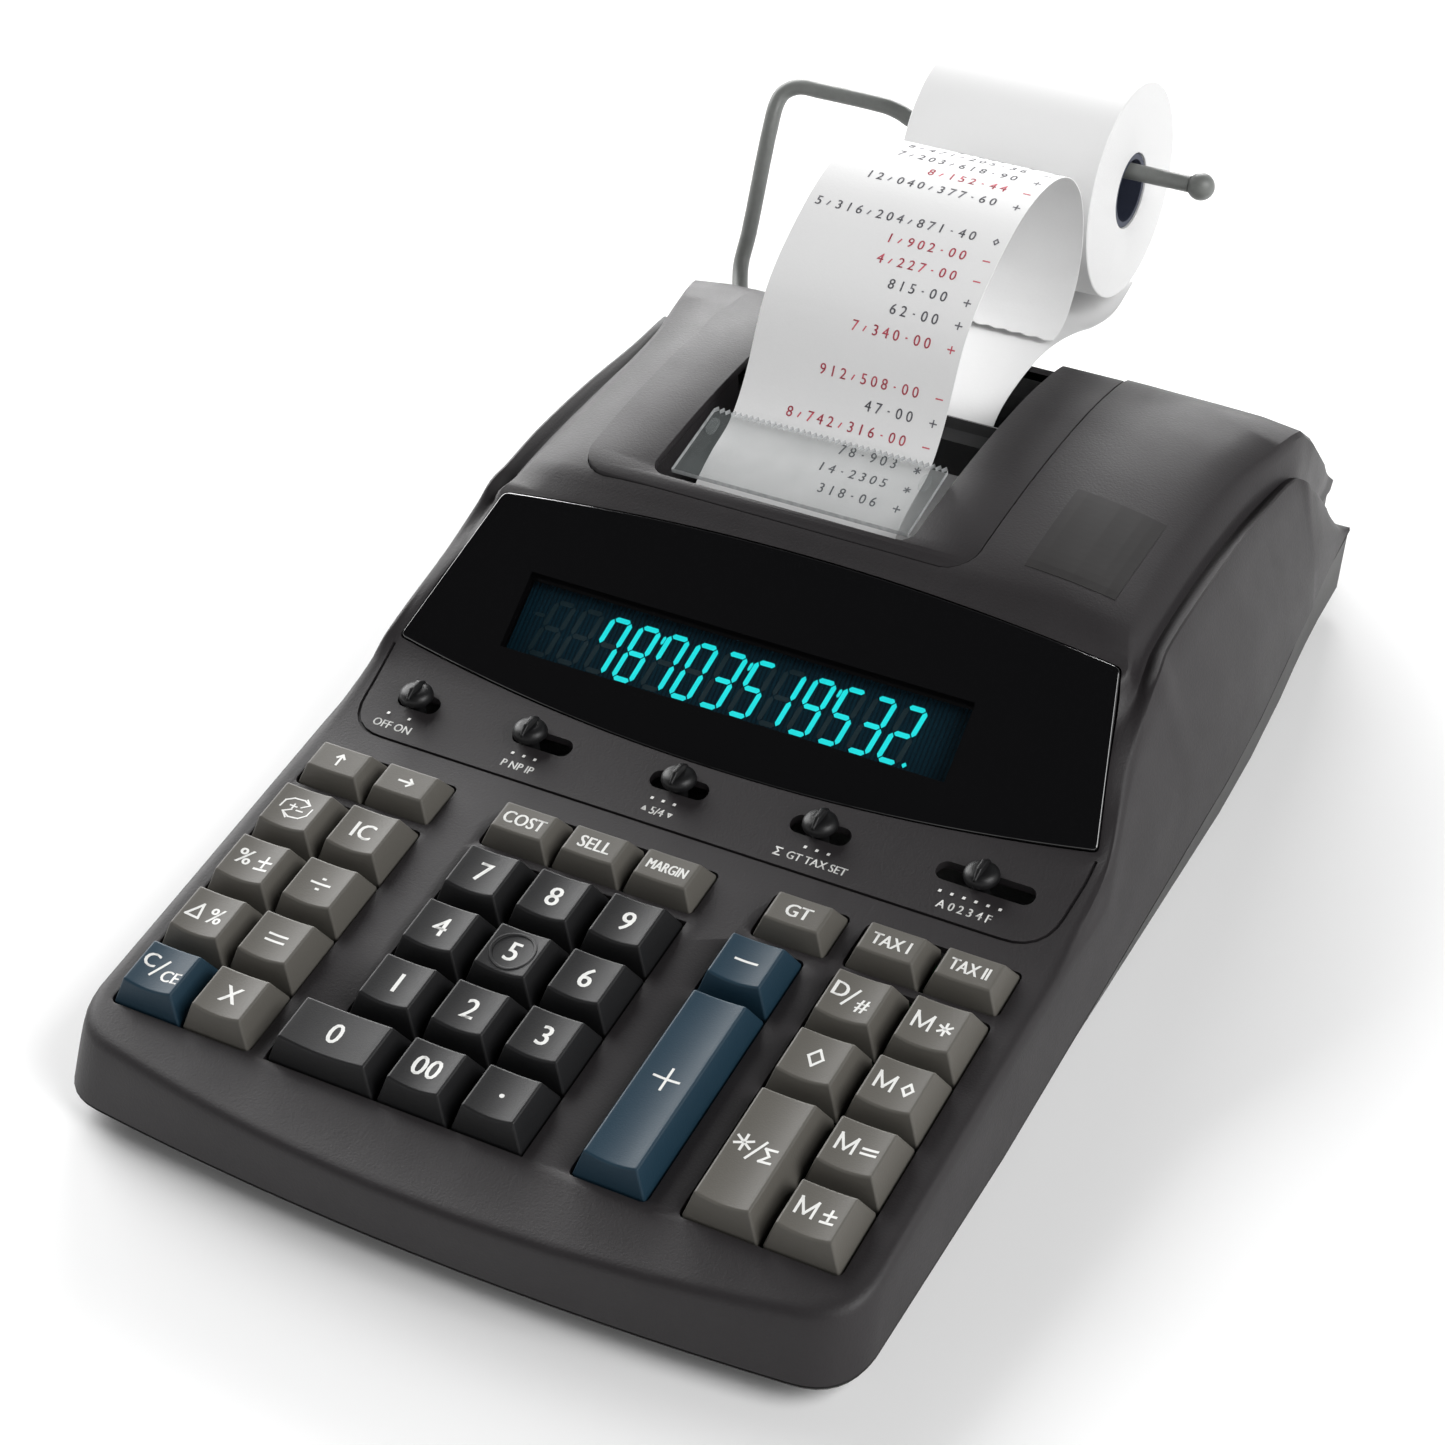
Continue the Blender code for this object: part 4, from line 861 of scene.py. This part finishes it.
# --------------------------------------------------------------- display window
# A bowed plate of polished acrylic, screened black behind except for the smoked
# pane in front of the tube. It is snapped into the slope and stands half a mm proud.
PANE = (-69.0, 55.5, -13.6, 4.0)
gloss = Finish("display_lens", Base_Color=(0.0035, 0.0035, 0.004, 1), Coat_Weight=1.0,
               Coat_Roughness=0.02, Specular_IOR_Level=0.6)
smear = gloss.noise(60.0, 4.0, 0.6)
across, along = gloss.axis(0), gloss.axis(1)
pane = ((across > PANE[0] * MM) * (across < PANE[1] * MM)
        * (along > (PANE[2] - CENTRE_Y) * MM) * (along < (PANE[3] - CENTRE_Y) * MM))
gloss.set(Alpha=1.0 - pane * 0.86, Roughness=smear * 0.05 + 0.03)
gloss.relief(gloss.noise(14.0, 2.0), 0.00004, 0.3)
bm = bmesh.new()
prism(bm, lens_outline(0.0), lens_point, -1.7, 0.5)
fit(piece("display_plate", bm, [gloss.material], bevel=0.9, segments=4), "case", "display_lens",
    "display_window")

# ----------------------------------------------------------------- display tube
# A flat fluorescent tube: dark glass in front of eleven lit figures and the dim
# shapes of the segments that are off. Thousands marks stand high between figures.
glass = Finish("tube_glass", Coat_Weight=0.6)
mesh_lines = (glass.axis(0) * 5200.0).sine() * 0.5 + 0.5
glass.set(Base_Color=glass.mix(mesh_lines, (0.0035, 0.021, 0.035, 1), (0.0065, 0.035, 0.055, 1)),
          Roughness=glass.noise(80.0) * 0.1 + 0.15)
glass.relief(mesh_lines, 0.00001)
bm = bmesh.new()
TUBE_BACK, TUBE_FACE = -10.5, -4.5
prism(bm, rounded(-70.0, 56.0, -14.5, 5.5, 1.5, 3), lens_point, TUBE_BACK, TUBE_FACE)
fit(piece("tube_body", bm, [glass.material], bevel=0.4), "case", "display_tube", "display_tube")
phosphor = Finish("phosphor_lit", Base_Color=(0.01, 0.5, 0.5, 1), Emission_Strength=1.0, Roughness=0.6)
flicker = phosphor.noise(420.0)
phosphor.set(Emission_Color=phosphor.mix(flicker, (0.005, 0.62, 0.66, 1), (0.012, 0.86, 0.86, 1)))
phosphor.relief(flicker, 0.00001)
unlit = speckled("phosphor_off", 420.0, (0.004, 0.026, 0.036), (0.006, 0.034, 0.046), 0.00001,
                 detail=2.0, Roughness=0.7)
DIGIT_H, DIGIT_W, LEAN, SEGMENT = 14.6, 5.0, 0.2, 1.3
SEGMENTS = {"a": ((0, 1), (1, 1)), "b": ((1, 1), (1, .5)), "c": ((1, .5), (1, 0)),
            "d": ((0, 0), (1, 0)), "e": ((0, .5), (0, 0)), "f": ((0, 1), (0, .5)),
            "g": ((0, .5), (1, .5))}
FIGURES = {"0": "abcdef", "1": "bc", "2": "abged", "3": "abgcd", "5": "afgcd", "7": "fabc",
           "8": "abcdefg", "9": "abcdfg"}
PITCH = 8.26
FIRST_X, FIRST_Y = -65.2, -11.6
LIT_RISE, DIM_RISE = 0.12, 0.05
lit, dim = bmesh.new(), bmesh.new()


def tube_art(bm, x, y, w, h, rise):
    """A flat hexagonal bar on the tube's face, leaning with the figures."""
    if w > h:
        shape = [(-w / 2, 0), (-w / 2 + h / 2, -h / 2), (w / 2 - h / 2, -h / 2), (w / 2, 0),
                 (w / 2 - h / 2, h / 2), (-w / 2 + h / 2, h / 2)]
    else:
        shape = [(0, -h / 2), (w / 2, -h / 2 + w / 2), (w / 2, h / 2 - w / 2), (0, h / 2),
                 (-w / 2, h / 2 - w / 2), (-w / 2, -h / 2 + w / 2)]
    spread = [(x + dx + (y + dy + 5.0) * LEAN, y + dy) for dx, dy in shape]
    prism(bm, spread, lens_point, TUBE_FACE, TUBE_FACE + rise)


flat = math.cos(LENS_SLOPE)   # heights along the slope are drawn in plan
for i, figure in enumerate("  78703519532"):
    x0 = FIRST_X + (i + 0.35) * PITCH
    for part, ((ax, ay), (bx, by)) in SEGMENTS.items():
        cx, cy = x0 + (ax + bx) / 2 * DIGIT_W, (FIRST_Y + (ay + by) / 2 * DIGIT_H * flat)
        upright = ax == bx
        w = SEGMENT if upright else DIGIT_W - 0.7
        h = (DIGIT_H / 2 - 0.3) * flat if upright else SEGMENT * flat
        on = part in FIGURES.get(figure, "")
        tube_art(lit if on else dim, cx, cy, w, h, LIT_RISE if on else DIM_RISE)
for i in (2, 5, 8):         # thousands marks
    tube_art(lit, FIRST_X + (i + 2.2) * PITCH, -0.9, 0.75, 2.4 * flat, LIT_RISE)
tube_art(lit, FIRST_X + 13.2 * PITCH, -11.4, 1.3, 1.15, LIT_RISE)
tube_art(dim, -65.0, -3.2, 3.0, 0.8, DIM_RISE)
fit(piece("figures_lit", lit, [phosphor.material], smooth=30), "case", "display_tube")
fit(piece("figures_off", dim, [unlit], smooth=30), "case", "display_tube")

# ---------------------------------------------------------------- printer cover
# A U-shaped lid over the printer, same plastic as the case, hinged at the rear.
# Its arms run either side of the paper mouth, with a thin wall turned down along each.
MOUTH = (-50.5, 23.5, 34.0)
MOUTH_CUT = (50.0, 95.0)
LID, LID_CORNER = 2.4, 7.7
cover_plastic = moulded("cover_plastic", (0.0195, 0.0173, 0.0186), 0.52)
middle = [(row[-1][1], row[-1][2]) for row in half_rows]


def deck_z(y):
    for (a, p), (b, q) in zip(middle, middle[1:]):
        if a <= y <= b:
            return p + (q - p) * (y - a) / (b - a)
    return middle[-1][1]


plate = bmesh.new()
lines = [COVER[2] + i * (COVER[3] - COVER[2]) / 40 for i in range(41)]
skin(plate, [[(COVER[0], y, deck_z(y)), (COVER[1], y, deck_z(y)), (COVER[1], y, deck_z(y) - LID),
              (COVER[0], y, deck_z(y) - LID)] for y in lines])
lid = piece("cover_lid", plate, [cover_plastic], smooth=None)
mouth = bmesh.new()
prism(mouth, rounded(MOUTH[0], MOUTH[1], MOUTH[2], COVER[3] + 30.0, 4.0, 4), level, *MOUTH_CUT)
corners = bmesh.new()       # what lies outside the rounded front corners
for side in (0, 1):
    x, way = COVER[side], (1, -1)[side]
    arc = [(x + way * LID_CORNER * (1 - math.sin(a)), COVER[2] + LID_CORNER * (1 - math.cos(a)))
           for a in [math.pi / 2 * i / 6 for i in range(7)]]
    prism(corners, arc + [(x - way * 2, COVER[2] + LID_CORNER), (x - way * 2, COVER[2] - 2),
                          (x + way * LID_CORNER, COVER[2] - 2)], level, *MOUTH_CUT)
cut(lid, mouth, corners)
lid.data.shade_smooth()
ease(lid, lambda p: True, 0.5)
walls = bmesh.new()
for x in (MOUTH[0] - 1.3, MOUTH[1] + 0.1):
    lines = [36.0 + 46.0 * i / 12 for i in range(13)]
    skin(walls, [[(x, y, 62.5), (x + 1.2, y, 62.5), (x + 1.2, y, deck_z(y) - 2.45),
                  (x, y, deck_z(y) - 2.45)] for y in lines])
join(lid, piece("mouth_walls", walls, [cover_plastic], smooth=30))
lid.data.set_sharp_from_angle(angle=math.radians(35))
fit(lid, "cover", "cover_plastic", "printer_cover")

# --------------------------------------------------------------------- tear bar
# A clear polycarbonate blade across the mouth. Its rear edge is toothed to tear
# the tape, and a lug near each end carries it on the cover.
TEAR = (-45.6, 21.4, 37.0, 60.0, 73.4, 77.6)
clear = Finish("clear_plastic", Base_Color=(0.30, 0.33, 0.33, 1), Coat_Weight=0.8)
haze = clear.noise(160.0, 3.0)
clear.set(Alpha=haze * 0.08 + 0.08, Roughness=haze * 0.14 + 0.05)
clear.relief(haze, 0.00002)
# Painted glint: the blade's edge faces get a speckle that lightens their colour towards white, standing
# in for light caught on the clear edges.
painted_edge_glint = Finish("clear_edge_painted_glint", Coat_Weight=0.5)
painted_glint = painted_edge_glint.noise(500.0, 3.0)
painted_edge_glint.set(Base_Color=painted_edge_glint.mix(painted_glint, (0.34, 0.35, 0.36, 1), (0.78, 0.80, 0.80, 1)),
               Alpha=painted_glint * 0.2 + 0.6, Roughness=painted_glint * 0.2 + 0.1)
TEETH, BLADE = 40, 1.2
tear_pitch = (TEAR[1] - TEAR[0]) / TEETH
toothed = [(TEAR[1] - (i + 0.5 * k) * tear_pitch, TEAR[3] + 1.1 * k)
           for i in range(TEETH) for k in (0, 1)] + [(TEAR[0], TEAR[3])]
tear_rise = (TEAR[5] - TEAR[4]) / (TEAR[3] - TEAR[2])


def tear_place(x, y, h):
    return Vector((x, y, TEAR[4] + tear_rise * (y - TEAR[2]) + h))


bm = bmesh.new()
prism(bm, [(TEAR[0], TEAR[2]), (TEAR[1], TEAR[2])] + toothed, tear_place, 0.0, BLADE)
# the side faces take the edge finish with its painted glint
for face in bm.faces:
    if len(face.verts) == 4:
        face.material_index = 1
for x in (TEAR[0] + 3.2, TEAR[1] - 3.2):
    prism(bm, rounded(x - 1.2, x + 1.2, 51.0, 56.0, 1.1, 3), tear_place, 1.25, 2.4)
fit(piece("tear_blade", bm, [clear.material, painted_edge_glint.material], smooth=30), "cover",
    "clear_plastic", "tear_bar")

# -------------------------------------------------------------- printer chassis
# Black glass-filled moulding under the cover: side plates, the trough that leads
# the paper in, and the bar that keeps the feed and the printed tape apart.
chassis = moulded("printer_plastic", (0.012, 0.012, 0.0125), 0.42, 1800.0, 0.00004)
chassis_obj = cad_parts["printer_frame"]
chassis_obj.data.materials.clear()
chassis_obj.data.materials.append(chassis)
rubber = moulded("rubber", (0.022, 0.022, 0.022), 0.8, 1200.0, 0.00012, 0.2)
board = moulded("circuit_board", (0.02, 0.09, 0.035), 0.45, 900.0, 0.00003)
for name, finish in (("platen_roller", rubber), ("ribbon_spool_left", chassis),
                     ("ribbon_spool_right", chassis), ("foot_front", rubber), ("foot_rear", rubber),
                     ("key_board", board), ("transformer", steel)):
    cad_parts[name].data.materials.clear()
    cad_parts[name].data.materials.append(finish)

# ------------------------------------------------------------------- paper tape
# One strip of 57 mm uncoated paper: off the bottom of the roll, through the
# trough, round the platen and up past the tear bar, curling back on itself.
PAPER = (-41.1, 15.9)
TAPE = [(192.0, 57.9), (179.0, 55.6), (165.0, 59.0), (151.0, 64.8), (138.0, 69.0), (126.0, 71.0),
        (113.0, 70.8), (102.0, 68.5), (95.0, 63.0), (91.5, 55.0), (84.0, 47.5), (70.0, 43.0),
        (56.0, 41.4), (43.0, 43.6), (34.0, 49.0), (33.4, 58.0), (39.0, 67.0), (49.0, 72.6),
        (60.0, 76.2), (69.0, 84.5), (82.5, 103.5), (98.0, 113.6), (117.0, 120.4), (134.0, 120.6),
        (146.0, 115.6), (153.4, 106.0), (155.2, 93.5), (152.4, 82.0), (147.0, 74.6), (141.5, 71.4),
        (135.5, 71.2)]
paper = Finish("paper", Subsurface_Weight=0.0)
fibre = paper.noise(1400.0, 4.0, 0.7)
paper.set(Base_Color=paper.mix(fibre * 0.5 + paper.noise(30.0) * 0.5, (0.70, 0.70, 0.70, 1),
                               (0.77, 0.77, 0.77, 1)), Roughness=fibre * 0.15 + 0.72)
paper.relief(fibre, 0.00003)
tape_line = curve_through([(0.0, y, z) for y, z in TAPE], 6)
lengths = [0.0]
for a, b in zip(tape_line, tape_line[1:]):
    lengths.append(lengths[-1] + (b - a).length)


def tape_at(s):
    """Point and outward normal of the tape at a distance along it."""
    s = max(0.0, min(s, lengths[-1] - 1e-4))
    i = max(k for k, length in enumerate(lengths) if length <= s)
    i = min(i, len(tape_line) - 2)
    t = (s - lengths[i]) / (lengths[i + 1] - lengths[i])
    run = tape_line[i + 1] - tape_line[i]
    return tape_line[i] + run * t, Vector((0.0, -run.z, run.y)).normalized()


bm = bmesh.new()
stations = [lengths[-1] * i / 260 for i in range(261)]
front_side = [tape_at(s) for s in stations]
ACROSS, SHEET_HALF = 24, 0.1
for face_sign in (1, -1):
    rows_of = [[bm.verts.new(p + n * SHEET_HALF * face_sign
                             + Vector((PAPER[0] + (PAPER[1] - PAPER[0]) * j / ACROSS, 0, 0)))
                for j in range(ACROSS + 1)] for p, n in front_side]
    for a, b in zip(rows_of, rows_of[1:]):
        for j in range(ACROSS):
            bm.faces.new((a[j], a[j + 1], b[j + 1], b[j]))
    if face_sign == 1:
        upper = rows_of
last = len(stations) - 1
border = ([(0, j) for j in range(ACROSS)] + [(r, ACROSS) for r in range(last)]
          + [(last, j) for j in range(ACROSS, 0, -1)] + [(r, 0) for r in range(last, 0, -1)])
for (r, j), (q, k) in zip(border, border[1:] + border[:1]):
    bm.faces.new((upper[r][j], upper[q][k], rows_of[q][k], rows_of[r][j]))
for j in range(0, ACROSS + 1, 2):   # torn end
    for verts in (upper[last], rows_of[last]):
        verts[j].co += (tape_line[-2] - tape_line[-1]).normalized() * 0.8
tape = piece("paper_strip", bm, [paper.material], smooth=60)
fit(tape, "case", "paper", "paper_tape")

# ----------------------------------------------------------------- printed lines
# Figures struck through the ribbon in black, or red for amounts taken away, set
# to the right of the tape with the sign of each entry in the last column.
black_ink = speckled("ribbon_black", 1100.0, (0.07, 0.068, 0.08), (0.20, 0.20, 0.22), 0.00001, sharp=0.7,
                     Roughness=0.8)
red_ink = speckled("ribbon_red", 1100.0, (0.46, 0.04, 0.07), (0.62, 0.14, 0.18), 0.00001, sharp=0.7,
                   Roughness=0.8)
LINES = (("318.06", "plus", 0), ("14.2305", "star", 0), ("78.903", "star", 0),
         ("8,742,316.00", "minus", 1), ("47.00", "plus", 0), ("912,508.00", "minus", 1), None,
         ("7,340.00", "plus", 1), ("62.00", "plus", 0), ("815.00", "plus", 0),
         ("4,227.00", "minus", 1), ("1,902.00", "minus", 1), ("5,316,204,871.40", "diamond", 0), None,
         ("12,040,377.60", "plus", 0), ("8,152.44", "minus", 1), ("7,203,618.90", "plus", 0),
         ("8,471,205.36", "minus", 0), ("2,633.18", "plus", 0), ("7,914.00", "minus", 0),
         ("6,250.00", "plus", 0))
first_line = next(s for s in stations if tape_at(s)[0].y > 47.0 and s > 190.0 and tape_at(s)[0].z > 60)
LINE_PITCH, CELL = 6.35, 2.93
inked = {0: None, 1: None}
for i, line in enumerate(LINES):
    if line is None:
        continue
    amount, sign, red = line
    start = first_line + i * LINE_PITCH
    parts = [(sign, 1.7, 12.9, -0.3)]
    for k, mark in enumerate(reversed(amount)):
        parts.append(({",": "comma", ".": "dot"}.get(mark, mark), 2.8, 6.2 - k * CELL, 0.0))

    def on_tape(a, b, start=start):
        point, normal = tape_at(start + b)
        point = Vector((a, point.y, point.z))
        return point + normal * 0.09, point + normal * 0.15

    row = piece("print_row", ink(parts, on_tape, 0.36, bold=0.03), [(black_ink, red_ink)[red]],
                smooth=30, weld=False)
    inked[red] = row if inked[red] is None else join(inked[red], row)
for red, name in ((0, "print_black"), (1, "print_red")):
    inked[red].name = name
    fit(inked[red], "case", "paper")

# -------------------------------------------------------------------- paper roll
# Tightly wound paper, 60 mm across, on a dark card tube. The edges of the sheet
# show as fine rings on both side faces.
ROLL_Y, ROLL_Z, ROLL_R = 188.0, 89.5, 30.0
CORE_R, CORE_BORE = 10.3, 8.7
wound = Finish("wound_paper")
away_y, away_z = wound.axis(1) - (ROLL_Y - CENTRE_Y) * MM, wound.axis(2) - ROLL_Z * MM
radius = wound.add("ShaderNodeMath", {"operation": "SQRT"}, {0: away_y * away_y + away_z * away_z})
layers = (radius * 21000.0 + wound.noise(90.0) * 6.0).sine() * 0.5 + 0.5
side_face = (wound.axis(0) > (PAPER[1] - 0.05) * MM) + (wound.axis(0) < (PAPER[0] + 0.05) * MM)
wound.set(Base_Color=wound.mix(layers * side_face, (0.76, 0.76, 0.76, 1), (0.64, 0.64, 0.64, 1)),
          Roughness=wound.noise(900.0) * 0.15 + 0.72)
wound.relief(layers * side_face, 0.00004)


def tube(bm, x0, x1, outer, inner, sides, ease_by):
    """Tube about the roll's axis with eased rims."""
    section = [(x0 + ease_by, outer), (x1 - ease_by, outer), (x1, outer - ease_by),
               (x1, inner + 0.1), (x1 - 0.1, inner), (x0 + 0.1, inner), (x0, inner + 0.1),
               (x0, outer - ease_by), (x0 + ease_by, outer)]
    skin(bm, [[(x, ROLL_Y + r * math.cos(a), ROLL_Z + r * math.sin(a))
               for a in turn(sides)] for x, r in section],
         caps=False)


bm = bmesh.new()
tube(bm, PAPER[0], PAPER[1], ROLL_R, 10.6, 128, 0.25)
fit(piece("wound_roll", bm, [wound.material], smooth=30), "roll", "paper", "paper_roll")
card = moulded("card_core", (0.030, 0.036, 0.060), 0.62, 1500.0, 0.00005, 0.25)
bm = bmesh.new()
tube(bm, PAPER[0] + 0.4, PAPER[1] - 0.4, CORE_R, CORE_BORE, 64, 0.1)
fit(piece("core_tube", bm, [card], smooth=30), "roll", "card_core", "roll_core")

# -------------------------------------------------------------------- wire arm
# A 4.6 mm rod bent to carry the roll, coated satin grey, its free end upset to a
# ball so that the roll can't slip off. It springs into a socket in the case.
ROD_R, BALL_R, BALL_X = 2.3, 3.8, 36.2
PIN_Z = ROLL_Z + CORE_BORE - ROD_R - GAP
ARM = [ARM_FOOT, (-88.5, 151.0, 51.5), (-92.0, 158.5, 55.5), (-92.0, 164.0, 63.0),
       (-92.0, 181.0, 92.0), (-91.2, 185.5, 97.0), (-87.0, 187.8, 99.2), (-80.0, 188.0, 99.4),
       (-60.0, 188.0, 99.2), (-55.0, 188.0, 98.2), (-50.0, 188.0, PIN_Z + 0.4),
       (-45.0, 188.0, PIN_Z), (33.0, 188.0, PIN_Z)]
coated = speckled("wire_coating", 650.0, (0.135, 0.142, 0.135), (0.175, 0.182, 0.174), 0.00003,
                  (0.16, 0.34))
rods = Pattern("bent_rod", Radius=ROD_R * MM, Sides=24, Finish=coated)
line = rods.add("GeometryNodeMeshToCurve", {}, {0: rods.input("Geometry")})
ring = rods.add("GeometryNodeCurvePrimitiveCircle", {}, {"Resolution": rods.input("Sides"),
                                                         "Radius": rods.input("Radius")})
rods.finish(rods.add("GeometryNodeCurveToMesh", {}, {"Curve": line, "Profile Curve": ring,
                                                     "Fill Caps": True}), rods.input("Finish"))
arm_line = curve_through(ARM, 5)
arm = rods.run("wire_arm", arm_line, [(i, i + 1) for i in range(len(arm_line) - 1)])
bm = bmesh.new()
skin(bm, [[(BALL_X - BALL_R * math.cos(t), ROLL_Y + BALL_R * math.sin(t) * math.cos(a),
            PIN_Z + BALL_R * math.sin(t) * math.sin(a)) for a in turn(32)]
          for t in [math.pi * (0.02 + 0.96 * k / 16) for k in range(17)]])
join(arm, piece("ball", bm, [coated], smooth=60))
fit(arm, "case", "wire_steel", "roll_arm")

# -------------------------------------------------------------- floor and light
# A pale sweep under broad, soft lights, and the camera above the front right corner.
floor_finish = Finish("floor_paper", Roughness=0.9)
floor_finish.set(Base_Color=floor_finish.mix(floor_finish.noise(8.0), (0.94, 0.94, 0.94, 1),
                                             (0.97, 0.97, 0.97, 1)))
bm = bmesh.new()
skin(bm, [[(-4000, y, z), (4000, y, z)] for y, z in ((-4000, 0), (4000, 0))], closed=False, caps=False)
floor = piece("floor", bm, [floor_finish.material], smooth=None)
world = bpy.data.worlds.new("studio")
world.use_nodes = True
bpy.context.scene.world = world
sky = Bench()
sky.tree = world.node_tree
height = sky.add("ShaderNodeSeparateXYZ", {}, {0: sky.add("ShaderNodeTexCoord", {}, {}, "Generated")}, 2)
shade = sky.add("ShaderNodeValToRGB", {"stops": [(0.0, (1.0,) * 3), (0.34, (0.62,) * 3),
                                                 (0.62, (0.03,) * 3), (1.0, (0.02,) * 3)]}, {0: height})
backdrop = world.node_tree.nodes["Background"]
sky.feed(backdrop.inputs["Color"], shade)
backdrop.inputs["Strength"].default_value = 1.0
bpy.context.scene.view_settings.view_transform = "Standard"


def softbox(name, place, aim, size, power):
    lamp = bpy.data.lights.new(name, "AREA")
    lamp.shape, lamp.size, lamp.size_y, lamp.energy = "RECTANGLE", size[0], size[1], power
    obj = bpy.data.objects.new(name, lamp)
    obj.location = place
    obj.rotation_euler = (Vector(aim) - Vector(place)).to_track_quat("-Z", "Y").to_euler()
    bpy.context.scene.collection.objects.link(obj)


softbox("key_box", (-1.25, 0.55, 0.75), (0, 0, 0.03), (1.0, 1.0), 24.0)
softbox("back_box", (-0.55, 1.25, 0.55), (0, 0, 0.05), (0.9, 0.3), 20.0)
softbox("fill_box", (1.15, -0.15, 1.0), (0, 0, 0.03), (0.9, 0.9), 19.0)
camera_data = bpy.data.cameras.new("camera")
camera_data.sensor_width, camera_data.lens = 36.0, 82.32
camera = bpy.data.objects.new("camera", camera_data)
camera.location = (0.3183, -0.5790, 0.5569)
camera.rotation_mode = "QUATERNION"
camera.rotation_quaternion = (Vector((-0.3974, 0.6648, -0.6325)).to_track_quat("-Z", "Y")
                              @ Quaternion((0, 0, 1), math.radians(-3.54)))
bpy.context.scene.collection.objects.link(camera)
bpy.context.scene.camera = camera
